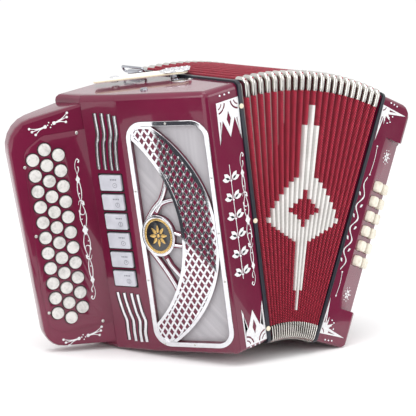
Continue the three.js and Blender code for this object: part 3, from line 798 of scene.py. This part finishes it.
def band_loop(inset, steps=120):
    low, high = 15.4 + inset * 0.4, 275.4 - inset * 0.4
    right, left = [], []
    for k in range(steps + 1):
        z = low + (high - low) * k / steps
        a, b = band_limits(z, inset)
        if b - a > 0.4:
            right.append((a, z))
            left.append((b, z))
    return right + left[::-1]


plate("band_border", grille_face, [band_loop(-0.6), band_loop(3.6)], 0.03, 1.3, 0.35, LATTICE, "treble",
      slot="chrome", sharp=12)


CELL, CELL_HEIGHT = 8.4, 13.2
BAND_MIDDLE = (50, 146.7)


def clipped(points, value, split=4):
    """The part of a polygon where value(a, b) is positive."""
    fine = []
    for i, p in enumerate(points):
        q = points[(i + 1) % len(points)]
        fine += [(p[0] + (q[0] - p[0]) * k / split, p[1] + (q[1] - p[1]) * k / split) for k in range(split)]
    out = []
    for i, p in enumerate(fine):
        q = fine[(i + 1) % len(fine)]
        vp, vq = value(*p), value(*q)
        if vp >= 0:
            out.append(p)
        if (vp >= 0) != (vq >= 0):
            t = vp / (vp - vq)
            out.append((p[0] + (q[0] - p[0]) * t, p[1] + (q[1] - p[1]) * t))
    return out


def in_band(a, z, inset=3.3):
    if not OPENING[1] + inset < z < OPENING[3] - inset:
        return -1.0
    near, far = band_limits(z, inset)
    return min(a - near, far - a)


def area_of(points):
    return 0.5 * sum(p[0] * q[1] - q[0] * p[1] for p, q in zip(points, points[1:] + points[:1]))


windows = []
for p in range(-24, 25):
    for q in range(-20, 21):
        if (p + q) % 2:
            hole = clipped(lozenge(BAND_MIDDLE[0] + p * CELL / 2, BAND_MIDDLE[1] + q * CELL_HEIGHT / 2,
                                   CELL * 0.33, CELL_HEIGHT * 0.33), in_band)
            if len(hole) > 3 and abs(area_of(hole)) > 2.0:
                windows.append(hole)
plate("band_lattice", grille_face, [band_loop(-0.4)] + windows, 0.03, 1.0, 0.2, LATTICE, "treble",
      slot="chrome", sharp=12)
studs = []
for i in range(-30, 31):
    for j in range(-14, 15):
        for half in (0.0, 0.5):
            s = BAND_MIDDLE[0] + (i + half) * CELL
            z = BAND_MIDDLE[1] + (j + half) * CELL_HEIGHT
            if 16 < z < 275:
                a, b = band_limits(z, 4.5)
                if a < s < b:
                    studs.append((s, z))
lathe("band_studs", grille_face, [(0, 0.9), (1.35, 0.9), (1.2, 1.2), (0.7, 1.4), (0, 1.45)], studs,
      LATTICE, "treble", 10)

# The struts' paths and widths.
struts = [
    ([(90.2, 166.8), (81.1, 178.8), (71.3, 188.7), (65.4, 200.5), (58.8, 219.2)], 2.0),
    ([(78.5, 174.8), (72.0, 183.7), (63.1, 187.7), (53.0, 189.6)], 1.7),
    ([(91.7, 128.4), (84.0, 116.2), (75.5, 102.0), (67.3, 85.8), (61.0, 69.4)], 2.0),
    ([(73.2, 118.4), (68.3, 108.3), (55.0, 91.6)], 1.7),
    ([(61.4, 149.8), (52.0, 146.6)], 1.5),
    ([(61.4, 134.7), (52.0, 133.4)], 1.5),
]
struts = [(smooth_path(p, 6), w) for p, w in struts]
wire("grille_struts", grille_face, [(p, False, [w / 2.0] * len(p)) for p, w in struts], 2.1, 0.1, CHROME,
     "treble", squash=0.5, slot="chrome")

BADGE = (79.2, 146.6)


def oval(rx, rz, steps=64):
    return circle(*BADGE, rx, steps, rz / rx)


plate("badge_rim", grille_face, [oval(20.4, 25.0), oval(16.9, 21.0)], 0.05, 2.0, 0.7, CHROME, "treble",
      slot="chrome")
plate("badge_ring", grille_face, [oval(17.6, 21.6), oval(14.6, 18.4)], 0.3, 1.6, 0.3, GOLD, "treble")
plate("badge_field", grille_face, [oval(15.0, 18.8)], 0.1, 1.4, 0.2, BLACK, "treble")
lathe("badge_beads", grille_face, [(0, 1.6), (0.5, 1.6), (0.4, 2.1), (0, 2.2)],
      oval(16.1, 20.0, 44), BLACK, "treble", 8)
for k in range(8):
    t = math.pi * k / 4
    c, s = math.cos(t), math.sin(t)
    petal = [(2.2, 0), (5.2, 1.9), (8.4, 1.2), (11.6, 0), (8.4, -1.2), (5.2, -1.9)]
    p = [(BADGE[0] + x * c - y * s, BADGE[1] + (x * s + y * c) * 1.25) for x, y in petal]
    plate(f"badge_petal_{k + 1}", grille_face, [softened(p, 0.8, 3)], 1.4, 0.6, 0.2, GOLD, "treble")
lathe("badge_boss", grille_face, [(0, 1.4), (2.1, 1.4), (1.9, 2.0), (1.0, 2.4), (0, 2.5)], [BADGE], GOLD,
      "treble", 24)


# ---- treble front face: crowns, a leaf column, scroll, stones and pins ----
def crown(prefix, flip):
    def at(*points):
        return [(x, 301.5 - z if flip else z) for x, z in points]

    def crescent(x, z, r, thick, start, end, steps):
        return at(*arc(x, z, r, start, end, steps), *arc(x, z, r - thick, end, start, steps))

    outline = at((38.0, 296.0), (5.2, 296.5), (6.3, 248.5), (13.5, 275.5), (22.4, 254.5), (31.5, 275.0),
                 (38.8, 248.5))
    holes = [at(*lozenge(22.2, 275.0, 3.4, 10.0)),
             crescent(37.6, 295.0, 12.5, 2.0, 186, 262, 8), crescent(5.6, 295.5, 12.5, 2.0, 278, 354, 8),
             crescent(37.6, 295.0, 7.5, 1.5, 190, 258, 6), crescent(5.6, 295.5, 7.5, 1.5, 282, 350, 6),
             at((35.6, 274.5), (36.6, 256.0), (34.2, 273.5)), at((9.6, 274.5), (8.2, 256.0), (11.0, 273.8))]
    inlay(prefix, front_face, [outline] + holes, "treble")
    stones(prefix + "_stones", front_face,
           at((22.3, 291), (16.8, 287), (28.0, 287), (22.3, 261), (34.6, 281), (9.6, 281), (17.2, 270),
              (27.4, 270)), "treble", 0.85, 0.6, 0.95, 1.0, 0.4)


crown("front_crown_top", False)
crown("front_crown_bottom", True)
scroll("front_scroll", front_face, 12.4, 77, 231, 7.0, 0.2, "treble", bend=-1.0)

LEAF_COLUMN, LEAF_FOOT, LEAF_PITCH = 29.6, 96.5, 22.4
leaf = [(0, 0), (2.9, 3.0), (3.3, 7.0), (1.0, 11.6), (-2.2, 7.6), (-2.5, 3.2)]
for k in range(6):
    z = LEAF_FOOT + k * LEAF_PITCH
    for side in (1, -1):
        for tilt, label in ((38, "a"), (74, "b")):
            c, s = math.cos(math.radians(tilt)), math.sin(math.radians(tilt))
            pts = [(LEAF_COLUMN + side * (1.6 + x * c + y * s), z - 2 + (-x * s + y * c)) for x, y in leaf]
            inlay(f"front_leaf_{k + 1}_{label}{'r' if side > 0 else 'l'}", front_face,
                  [softened(pts, 0.7, 3)], "treble")
stones("front_leaf_stones", front_face, [(LEAF_COLUMN, LEAF_FOOT + k * LEAF_PITCH - 3.2) for k in range(6)],
       "treble", 1.3, 1.0, 0.8, 0.95)
wire("front_leaf_stem", front_face, [([(LEAF_COLUMN, 88), (LEAF_COLUMN, 224)], False, None)], 0.45, 0.1,
     INLAY, "treble", squash=0.5)
stones("front_stones", front_face,
       [(31.2, 303.2), (24.3, 303.2), (17.5, 303.6), (31.2, 4.2), (24.3, 4.0), (17.5, 3.8)], "treble",
       1.15, 0.9, 0.7, 0.85)
pin = [(0, 0.0), (1.6, 0.0), (1.6, 1.2), (2.6, 1.5), (3.0, 2.3), (2.7, 3.3), (1.7, 3.9), (0, 4.1)]
pin_spots = [(3.2, 285.2), (3.2, 150.3), (3.2, 17.5)]
for label, face in (("front", front_face), ("back", back_face)):
    lathe(f"bellows_pins_{label}", face, pin, pin_spots, BONE, "treble", 24)


# ---- gaskets round both case mouths ----
def gasket(name, place, body, x0, x1):
    outer = rounded_box(-2.3, -2.3, CASE_DEPTH + 2.3, CASE_HEIGHT + 2.3, 7, 6)
    inner = rounded_box(1.0, 1.0, CASE_DEPTH - 1.0, CASE_HEIGHT - 1.0, 4, 6)

    def put(p):
        p = np.asarray(p, float)
        return place(np.column_stack([x0 + (x1 - x0) * p[:, 2], p[:, 0], p[:, 1]]))

    plate(name, put, [outer, inner], 0.0, 1.0, 0.18, RUBBER, body)


gasket("gasket_treble", treble, "treble", -5.2, -0.3)
gasket("gasket_bass", bass, "bass", 0.3, 5.2)


# ---- bellows: cloth folds that follow both cases ----
_turn = math.radians(FAN_ANGLE)
_c, _s = math.cos(_turn), math.sin(_turn)
_k = 1.0 / ((1 - _c) ** 2 + _s ** 2)
FAN_CENTRE = (((1 - _c) * BASS_FOOT[0] + _s * BASS_FOOT[1]) * _k,
              (-_s * BASS_FOOT[0] + (1 - _c) * BASS_FOOT[1]) * _k)


def fan(f, y, z):
    """A point on the frame at fraction f of the way from the treble case to the bass case."""
    f, y, z = np.broadcast_arrays(np.asarray(f, float), y, z)
    a = f * _turn
    x0, z0 = -FAN_CENTRE[0], z - FAN_CENTRE[1]
    return treble(np.stack([FAN_CENTRE[0] + x0 * np.cos(a) + z0 * np.sin(a), y,
                            FAN_CENTRE[1] - x0 * np.sin(a) + z0 * np.cos(a)], 1))


def ride_bellows(obj):
    """Bake the piece's place into its mesh; fan() has already turned each fold by its own share of the fan.
    """
    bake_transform(obj)


SECTION = [(0.0, 13.0), (0.07, 10.5), (0.14, 6.2), (0.20, 2.4), (0.25, -0.4), (0.31, -1.9), (0.40, -2.65),
           (0.50, -2.9), (0.60, -2.65), (0.69, -1.9), (0.75, -0.4), (0.80, 2.4), (0.86, 6.2), (0.93, 10.5)]
END = 0.012


def folds():
    """(fraction, depth, distance over the cloth) down the whole row of folds."""
    rows = []
    run = 0.0
    last = None
    for k in range(PLEATS):
        for t, d in SECTION:
            f = END + (1 - 2 * END) * (k + t) / PLEATS
            if last is not None:
                run += math.hypot((f - last[0]) * 150.0, d - last[1])
            rows.append((f, d, run, k, t))
            last = (f, d)
    rows.append((1 - END, 13.0, run + 6, PLEATS - 1, 1.0))
    return rows


def loop_points(d, corner=5.0):
    """Round a fold at depth d: (y, z, distance round)."""
    r = max(corner - d * 0.2, 1.0)
    y0, y1, z0, z1 = d, CASE_DEPTH - d, d, CASE_HEIGHT - d
    pts = []

    def line(a, b, n):
        for i in range(n):
            t = i / n
            pts.append((a[0] + (b[0] - a[0]) * t, a[1] + (b[1] - a[1]) * t))
    line((y0, z0 + r), (y0, z1 - r), 12)
    pts.extend(arc(y0 + r, z1 - r, r, 180, 90, 4)[:-1])
    line((y0 + r, z1), (y1 - r, z1), 8)
    pts.extend(arc(y1 - r, z1 - r, r, 90, 0, 4)[:-1])
    line((y1, z1 - r), (y1, z0 + r), 12)
    pts.extend(arc(y1 - r, z0 + r, r, 0, -90, 4)[:-1])
    line((y1 - r, z0), (y0 + r, z0), 8)
    pts.extend(arc(y0 + r, z0 + r, r, 270, 180, 4)[:-1])
    out = []
    run = 0.0
    for i, p in enumerate(pts):
        if i:
            run += math.hypot(p[0] - pts[i - 1][0], p[1] - pts[i - 1][1])
        out.append((p[0], p[1], run))
    return out


def bellows_cloth():
    rows = folds()
    count = len(loop_points(0.0))
    f, y, z, uv = [], [], [], []
    for fraction, depth, run, _, _ in rows:
        for py, pz, around in loop_points(depth):
            f.append(fraction)
            y.append(py)
            z.append(pz)
            uv.append((run / 1000.0, around / 1000.0))
    outer = fan(np.array(f), np.array(y), np.array(z))
    inner = fan(np.array(f), *[np.array(v) for v in zip(*[(p[0], p[1]) for _, d, _, _, _ in rows
                                                          for p in loop_points(d + 1.2)])])
    total = len(outer)
    faces, kinds = [], []
    for i in range(len(rows) - 1):
        _, d, _, k, t = rows[i]
        for j in range(count):
            j2 = (j + 1) % count
            a, b, c, e = i * count + j, i * count + j2, (i + 1) * count + j2, (i + 1) * count + j
            faces.append((a, b, c, e))
            height = z[a]
            white = k <= 6 and t < 0.2 and y[a] < 40 and height > 120 + k * 20
            # Kind 2, the deep part of each fold, takes the darker cloth as painted shade in the crease.
            kinds.append(1 if white else (0 if 0.19 < t < 0.79 else 2))
            faces.append((total + a, total + e, total + c, total + b))
            kinds.append(0)
    for i in (0, len(rows) - 1):
        for j in range(count):
            j2 = (j + 1) % count
            a, b = i * count + j, i * count + j2
            faces.append((a, total + a, total + b, b) if i == 0 else (a, b, total + b, total + a))
            kinds.append(0)
    mesh = raw_mesh("bellows_cloth", np.concatenate([outer, inner]), faces)
    for mat in (BROCADE, LINING, PAINTED_FOLD_SHADE):
        mesh.materials.append(mat)
    mesh.polygons.foreach_set("material_index", kinds)
    flat_uv(mesh, np.array(uv + uv))
    smooth(mesh, 75)
    obj = add_object("bellows_cloth", mesh)
    ride_bellows(obj)
    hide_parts("bellows")


bellows_cloth()


def fold_strips(name, strips, lift, mat, edge_round=0.0, reach_from=0.14):
    """Strips laid over the outer folds. A strip is (pleat, path), and a path runs round the fold as
    (y, z, outward y, outward z)."""
    profile = [(t, d) for t, d in SECTION if reach_from <= t <= 1 - reach_from]
    verts_f, verts_y, verts_z, uv, faces = [], [], [], [], []
    for pleat, path in strips:
        base = len(verts_f)
        for out, rounded in ((lift, edge_round), (-0.5, 0.0)):
            for i, (y, z, ny, nz) in enumerate(path):
                drop = rounded if i in (0, len(path) - 1) else 0.0
                for t, d in profile:
                    reach = -d + out - drop
                    verts_f.append(END + (1 - 2 * END) * (pleat + t) / PLEATS)
                    verts_y.append(y + ny * reach)
                    verts_z.append(z + nz * reach)
                    uv.append((t * 0.012, (y + z) / 1000.0))
        faces += slab_faces(len(path), len(profile), base)
    mesh = raw_mesh(name, fan(np.array(verts_f), np.array(verts_y), np.array(verts_z)), faces)
    mesh.materials.append(mat)
    flat_uv(mesh, np.array(uv))
    faces_out(mesh)
    smooth(mesh, 60)
    ride_bellows(add_object(name, mesh))


# The white figure on the front folds: where it starts and ends on each fold out from the middle one.
MIDDLE = 10
TOPS = [0.122, 0.196, 0.39, 0.404, 0.424, 0.447, 0.469, 0.492, 0.523]
BOTTOMS = [0.887, 0.812, 0.626, 0.6145, 0.603, 0.590, 0.576, 0.561, 0.542]
HOLES = [(0.435, 0.574), (0.469, 0.546), (0.485, 0.527), (0.50, 0.518)]


def front_path(top, bottom, step=6.0):
    z1 = CASE_HEIGHT + 3 - top * (CASE_HEIGHT + 6)
    z0 = CASE_HEIGHT + 3 - bottom * (CASE_HEIGHT + 6)
    n = max(2, int((z1 - z0) / step))
    return [(0.0, z0 + (z1 - z0) * i / n, -1.0, 0.0) for i in range(n + 1)]


strips = []
for side in range(-8, 9):
    i = abs(side)
    pleat = MIDDLE + side
    if i < len(HOLES):
        strips.append((pleat, front_path(TOPS[i], HOLES[i][0])))
        strips.append((pleat, front_path(HOLES[i][1], BOTTOMS[i])))
    else:
        strips.append((pleat, front_path(TOPS[i], BOTTOMS[i])))
fold_strips("bellows_white_figure", strips, 0.35, TAPE)


def corner_path(top, front, front_reach, side_reach):
    """Round one corner of a fold, from the front or back face over to the top or bottom."""
    r = 5.0
    ys = 0.0 if front else CASE_DEPTH
    zs = CASE_HEIGHT if top else 0.0
    sy = 1.0 if front else -1.0
    sz = -1.0 if top else 1.0
    path = []
    for k in range(6):
        t = front_reach - (front_reach - r) * k / 6
        path.append((ys, zs + sz * t, -sy, 0.0))
    for k in range(9):
        a = math.pi / 2 * k / 8
        ny, nz = -sy * math.cos(a), -sz * math.sin(a)
        path.append((ys + sy * r + ny * r, zs + sz * r + nz * r, ny, nz))
    for k in range(1, 6):
        t = r + (side_reach - r) * k / 5
        path.append((ys + sy * t, zs, 0.0, -sz))
    return path


for top in (True, False):
    for front in (True, False):
        label = f"{'top' if top else 'bottom'}_{'front' if front else 'back'}"
        fold_strips(f"bellows_corners_{label}",
                    [(k, corner_path(top, front, 19.0, 13.0)) for k in range(PLEATS)], 0.8, NICKEL, 0.6, 0.2)


# ---- top of the treble case: strap, its fittings, bracket and stud ----
STRAP_ANGLE = math.radians(136.7)
STRAP_POST = (-10, 101)


def strap_place(p):
    p = np.asarray(p, float)
    c, s = math.cos(STRAP_ANGLE), math.sin(STRAP_ANGLE)
    return treble_top(np.column_stack([STRAP_POST[0] + c * p[:, 0] - s * p[:, 1],
                                       STRAP_POST[1] + s * p[:, 0] + c * p[:, 1], p[:, 2]]))


strap_outline = softened([(-16, -10.5), (94, -10.5), (94, 10.5), (-16, 10.5)], [6, 5, 5, 6], 6)
inner_outline = softened([(-15.2, -9.7), (93.2, -9.7), (93.2, 9.7), (-15.2, 9.7)], [6, 4.4, 4.4, 6], 6)
plate("bellows_strap_core", strap_place, [strap_outline], 5.3, 2.0, 0.3, EDGE_LEATHER, "bellows_strap",
      slot="strap_leather", replaces=("bellows_strap",))
plate("bellows_strap_face", strap_place, [inner_outline], 6.9, 1.2, 0.45, WHITE_LEATHER, "bellows_strap",
      slot="strap_leather")
plate("bellows_strap_lining", strap_place, [inner_outline], 5.0, 0.5, 0.2, WHITE_LEATHER, "bellows_strap",
      slot="strap_leather")
stitches = []
for side in (-1, 1):
    for k in range(34):
        x = 2 + k * 2.55
        stitches.append(([(x, side * 8.0), (x + 1.6, side * 8.0)], False, None))
wire("bellows_strap_stitches", strap_place, stitches, 0.3, 8.12, THREAD, "bellows_strap", sides=1)
lathe("bellows_strap_snap", strap_place, [(0, 2.6), (4.6, 2.6), (4.6, 5.1), (3.0, 5.3), (0, 5.3)],
      [(70, 0)], SCREW, "bellows_strap", 28)
lathe("bellows_strap_snap_cap", strap_place,
      [(0, 7.9), (6.0, 7.9), (6.1, 8.3), (5.6, 9.0), (4.4, 9.3), (3.9, 9.1), (2.4, 9.7), (0, 10.0)],
      [(70, 0)], CHROME, "bellows_strap", 36)
clasp = softened([(-19, -10), (-12, -12.6), (-3, -10.8), (3, -12.6), (10, -11.4), (15, -5), (18, 0), (15, 5),
                  (10, 11.4), (3, 12.6), (-3, 10.8), (-12, 12.6), (-19, 10)], 1.6, 4)
plate("strap_clasp", strap_place,
      [clasp, circle(8, 0, 1.6, 16), circle(-9, 6.0, 1.3, 14), circle(-9, -6.0, 1.3, 14)],
      8.1, 1.4, 0.5, CHROME, "bellows_strap")
beads = ([(x, y) for x in (-15, -9, -3, 3, 9) for y in (-8.6, 8.6)]
         + [(-15, 0), (13, 0), (-4, 4), (-4, -4), (3, 4), (3, -4)])
lathe("strap_clasp_beads", strap_place, [(0, 9.3), (1.4, 9.3), (1.2, 10.2), (0, 10.6)], beads, CHROME,
      "bellows_strap", 14)
lathe("strap_post", strap_place, [(0, 0.35), (5.0, 0.35), (5.0, 5.2), (0, 5.2)], [(0, 0)], ROD_CHROME,
      "bellows_strap", 28)
lathe("strap_post_cap", strap_place, [(0, 9.4), (4.2, 9.4), (4.0, 10.6), (2.4, 11.4), (0, 11.6)],
      [(0, 0)], CHROME, "bellows_strap", 28)

lathe("top_stud", treble_top,
      [(0, 0.0), (4.6, 0.0), (4.6, 0.7), (4.15, 1.0), (4.1, 2.0), (3.2, 2.4), (0, 2.5)],
      [(-68, 86)], ROD_CHROME, "treble", 28)
base = softened([(-26, 70), (-6, 70), (-4, 84), (-6, 92), (-26, 92), (-28, 84)], 3, 4)
plate("strap_base", treble_top, [base], 0.05, 0.28, 0.08, CHROME, "treble")
lathe("strap_base_screws", treble_top, [(r * 0.9, h * 0.7 + 0.3) for r, h in screw],
      [(-22, 74), (-10, 74)], SCREW, "treble", 16)

loop = rounded_box(-20, 0, 20, 8, 3, 8)


def bracket_place(p):
    x, z = turn(p[:, 2], p[:, 1], BRACKET_REST)
    return treble(np.column_stack([BRACKET[0] + x, BRACKET[1] + p[:, 0], CASE_HEIGHT + BRACKET[2] + z]))


wire("bracket_rod", bracket_place, [(loop, True, None)], 1.5, 0.0, ROD_CHROME, "shoulder_bracket", sides=4,
     slot="chrome", replaces=("shoulder_strap_bracket",))
saddle = softened([(-10.5, 0.0), (10.5, 0.0), (10.5, 7.3), (-10.5, 7.3)], [0, 0, 2.6, 2.6], 5)
plate("bracket_saddle", lambda p: treble(np.column_stack([BRACKET[0] + p[:, 2], BRACKET[1] + p[:, 0],
                                                            CASE_HEIGHT + p[:, 1]])),
      [saddle], -3.8, 7.6, 0.8, ROD_CHROME, "treble", slot="chrome")


# ---- bass case: buttons, figures on the front and facet, dots ----
def button_block(name, v, z):
    layers = [(6.6, 3.9, -6.1), (6.6, 3.9, 3.9), (6.35, 3.7, 5.1), (5.7, 3.3, 5.9), (4.6, 2.6, 6.15)]
    rings = [[(x, y, n) for x, y in rounded_box(v - h, z - h, v + h, z + h, r, 6)] for h, r, n in layers]
    count = len(rings[0])
    verts = sum(rings, []) + [(v, z, 6.2)]
    faces = [tuple(range(count))[::-1]]
    last = (len(layers) - 1) * count
    for j in range(count):
        j2 = (j + 1) % count
        for a in range(0, last, count):
            faces.append((a + j, a + j2, a + count + j2, a + count + j))
        faces.append((last + j, last + j2, len(verts) - 1))
    finish_piece(name + "_cap", raw_mesh(name + "_cap", facet_face(np.array(verts)), faces), CREAM, name,
                 slot="bass_button", sharp=50, replaces=(name,))


for column, v in enumerate(BASS_COLUMNS):
    for k in range(6):
        button_block(f"bass_button_{column + 1}_{k + 1}", v, BASS_MIDDLE + (2.5 - k) * BASS_PITCH)


def corner_star(prefix, cx, cz, along_x, along_z):
    """A quarter star in the corner of the bass front, with long points along both edges."""
    def at(a, b):
        return cx + along_x[0] * a + along_z[0] * b, cz + along_x[1] * a + along_z[1] * b
    tips = [(45, 2), (13, 8.5), (19, 15), (9.5, 11.5), (9.5, 22), (6.8, 12.5), (2, 45)]
    outline = [at(0, 0)] + [at(*t) for t in tips]
    holes = [[at(x, y) for x, y in arc(0.8, 0.8, 6.4, 8, 82, 7) + arc(0.8, 0.8, 5.0, 82, 8, 7)],
             [at(*p) for p in [(14, 2.6), (27, 3.0), (14, 5.0)]],
             [at(*p) for p in [(2.6, 14), (3.0, 27), (5.0, 14)]]]
    inlay(prefix, bass_front, [outline] + holes, "bass", edge=0.14)
    spots = [at(*p) for p in [(8.6, 7.8), (16, 12), (9, 17), (22, 9), (15.5, 19), (20, 16.5)]]
    stones(prefix + "_stones", bass_front, spots, "bass", 0.95, 0.7, 0.8, 0.95)


corner_star("bass_star_top", 7.0, 300.5, (1.0, 0.0), (0.0, -1.0))
corner_star("bass_star_bottom", 7.0, 11.0, (1.0, 0.0), (0.0, 1.0))
stones("bass_stones", bass_front,
       [(20, 306.5), (26, 306.2), (32, 305.6), (20, 5.0), (26, 5.2), (32, 5.8)], "bass", 1.1, 0.85, 0.7, 0.85)


def blossom(prefix, a, z):
    for k in range(6):
        t = math.pi / 3 * k
        c, s = math.cos(t), math.sin(t)
        pts = [(1.2, 0), (3.2, 1.5), (5.6, 1.2), (6.6, 0), (5.6, -1.2), (3.2, -1.5)]
        petal = [(a + x * c - y * s, z + x * s + y * c) for x, y in pts]
        inlay(f"{prefix}_petal_{k + 1}", facet_face, [softened(petal, 0.5, 3)], "bass", 0.02, 0.45, 0.12)
    lathe(prefix + "_beads", facet_face, [(0, 0.02), (0.8, 0.02), (0.6, 0.52), (0, 0.62)],
          circle(a, z, 8.6, 9) + [(a, z)], INLAY, "bass", 10)


blossom("facet_blossom_high", 17.0, 243.0)
blossom("facet_blossom_low", 14.0, 66.0)

ribbon = smooth_path([(12, 92), (18, 104), (9, 116), (18, 130), (9, 144), (18, 158), (9, 172), (18, 186),
                      (12, 200), (15, 210)], 8)
swell = [0.5 + 0.9 * math.sin(math.pi * k / (len(ribbon) - 1)) ** 0.5 * (0.6 + 0.4 * math.cos(k * 0.8))
         for k in range(len(ribbon))]
wire("bass_ribbon", bass_front, [(ribbon, False, swell)], 0.9, 0.15, INLAY, "bass", squash=0.35)
for k in range(7):
    z = 104 + k * 14.0
    side = 1 if k % 2 else -1
    pts = [(13.5 + side * (x * 0.9 + 2.0), z + y * 0.9)
           for x, y in ((0, -3), (3.2, -1.6), (5.4, 2.4), (1.8, 2.2))]
    inlay(f"bass_ribbon_leaf_{k + 1}", bass_front, [softened(pts, 0.6, 3)], "bass", 0.02, 0.45, 0.12)
for label, z0, z1 in (("high", 214, 250), ("low", 60, 90)):
    line = smooth_path([(17.5, z0), (18.6, (z0 + z1) / 2), (17.0, z1)], 8)
    wire(f"bass_line_{label}", bass_front, [(line, False, None)], 0.38, 0.1, INLAY, "bass", squash=0.5)
    lathe(f"bass_line_{label}_ends", bass_front, [(0, 0.0), (1.2, 0.0), (0.9, 0.5), (0, 0.6)],
          [(17.5, z0), (17.0, z1)], INLAY, "bass", 12)


# ---- hand strap and its wheel ----
def hand_bow(t):
    """How far the strap stands off the case at fraction t of its length."""
    return HAND_BOW * math.sin(math.pi * t) ** 0.8


def hand_strap():
    rows, cols = 40, 14
    verts = []
    for outside in (False, True):
        for i in range(rows + 1):
            t = i / rows
            for j in range(cols + 1):
                q = j / cols
                edge = min(q, 1 - q) * HAND_WIDTH
                puff = 0.9 * min(edge / 8.0, 1.0) * min(t, 1 - t, 0.08) / 0.08
                curl = 0.35 * (1 - min(edge / 2.0, 1.0))
                x = BASS_WIDTH + 0.35 + hand_bow(t) + (2.1 + puff - curl if outside else curl)
                verts.append((x, HAND_EDGE + HAND_WIDTH * q, HAND_FOOT + t * HAND_LENGTH))
    mesh = raw_mesh("hand_strap_leather", bass(np.array(verts)), slab_faces(rows + 1, cols + 1))
    obj = finish_piece("hand_strap_leather", mesh, HAND_LEATHER, "bass", slot="hand_strap_leather", sharp=60,
                       replaces=("hand_strap",))
    sub = obj.modifiers.new("soften", "SUBSURF")
    sub.levels = 1
    sub.render_levels = 1


hand_strap()
stitches = []
for y in (67.5, 126.5):
    for k in range(56):
        t = (k + 0.5) / 60 + 0.03
        pts = [(y, HAND_FOOT + e * HAND_LENGTH, hand_bow(e) + 3.3) for e in (t, t + 0.5 / 60)]
        stitches.append((pts, False, None))
wire("hand_strap_stitches", bass_outer, stitches, 0.3, 0.0, THREAD, "bass", sides=1)
for label, z in (("top", 281), ("bottom", 31)):
    plate(f"hand_strap_clamp_{label}", bass_outer, [rounded_box(60, z - 5, 134, z + 5, 3)], 3.4, 1.4, 0.5,
          CHROME, "bass", slot="chrome")
    lathe(f"hand_strap_clamp_{label}_screws", bass_outer, [(r * 1.2, h + 4.7) for r, h in screw],
          [(70, z), (97, z), (124, z)], SCREW, "bass", 20)

wheel_profile = [(0, -3.0), (5.5, -3.0), (8.2, -2.9), (8.9, -2.2),
                 (8.9, 2.2), (8.2, 2.9), (5.5, 3.0), (0, 3.0)]
lathe("strap_wheel_knurled", lambda p: bass(p[:, [0, 2, 1]] + np.array(WHEEL)),
      wheel_profile, [(0, 0)], WHEEL_BLACK, "strap_wheel", 96, (24, 0.35, 8.5), slot="wheel", sharp=40,
      replaces=("strap_wheel",))


# ---- floor, light and camera ----
def stage_card(name, corners, color, **values):
    """A flat matt card of the studio."""
    s = Surface(name)
    s.set(Base_Color=(*color, 1), Roughness=0.9, **values)
    mesh = raw_mesh(name, corners, [(0, 1, 2, 3)])
    mesh.materials.append(s.material)
    obj = add_object(name, mesh)
    return obj


FLOOR_HALF, FLOOR_LEVEL = 6.0, -0.0006
stage_card("floor",
           [(x * FLOOR_HALF, y * FLOOR_HALF, FLOOR_LEVEL) for x, y in ((-1, -1), (1, -1), (1, 1), (-1, 1))],
           (0.985, 0.985, 0.985), Specular_IOR_Level=0.0)
world = bpy.data.worlds.new("studio")
world.use_nodes = True
background = world.node_tree.nodes["Background"].inputs
background["Color"].default_value = (1, 1, 1, 1)
background["Strength"].default_value = 1.03
scene.world = world
scene.view_settings.view_transform = "Standard"


def softbox(name, where, target, size, power):
    light = bpy.data.lights.new(name, "AREA")
    light.shape = "RECTANGLE"
    light.size, light.size_y = size
    light.energy = power
    obj = add_object(name, light)
    obj.location = where
    obj.rotation_euler = (Vector(target) - Vector(where)).to_track_quat("-Z", "Y").to_euler()


def flag(name, *corners, tone=(0.012, 0.013, 0.02)):
    """A dark card just over the floor that only gloss sees. It gives lacquer and chrome their depth."""
    obj = stage_card(name, [(x, y, 0.004) for x, y in corners], tone)
    obj.visible_camera = False
    obj.visible_diffuse = False
    obj.visible_shadow = False
    obj.visible_transmission = False


flag("flag_left", (-0.80, -0.122), (-0.80, -0.048), (-0.38, -0.042), (-0.24, -0.092))
flag("flag_far_left", (-2.2, -0.7), (-2.2, 0.6), (-0.76, 0.02), (-0.76, -0.22))
flag("flag_left_back", (-0.8, 0.02), (-0.8, 0.4), (-0.25, 0.25), (-0.26, 0.02))
flag("flag_right", (0.08, -0.17), (0.50, -0.17), (4.4, -3.3), (2.2, -3.4), tone=(0.10, 0.07, 0.09))
flag("flag_front", (-0.75, -2.2), (0.30, -2.2), (0.03, -0.30), (-0.48, -0.17))
softbox("softbox_top", (-0.3, -0.3, 1.8), (0, 0, 0.15), (1.4, 1.4), 14)
softbox("softbox_left", (-1.7, -0.5, 0.9), (0, 0, 0.15), (0.9, 1.2), 8)
softbox("softbox_right", (0.9, -1.6, 0.8), (0.1, 0, 0.15), (0.9, 1.0), 6)

# The camera, fitted to the photograph: focal length in pixels, picture width in pixels, place and directions.
FOCAL, PICTURE, SENSOR = 1423.5, 416.0, 36.0
CAMERA_PLACE = (-1.1179, -1.2658, 0.4265)
camera_data = bpy.data.cameras.new("camera")
camera_data.sensor_width = SENSOR
camera_data.lens = SENSOR * FOCAL / PICTURE
camera = add_object("camera", camera_data)
ahead = Vector((0.6511, 0.7440, -0.1499)).normalized()
up = Vector((0.7559, -0.6535, 0.0395)).normalized().cross(ahead).normalized()
right = ahead.cross(up).normalized()
rows = [(right[i], up[i], -ahead[i], CAMERA_PLACE[i]) for i in range(3)]
camera.matrix_world = Matrix(rows + [(0, 0, 0, 1)])
scene.camera = camera
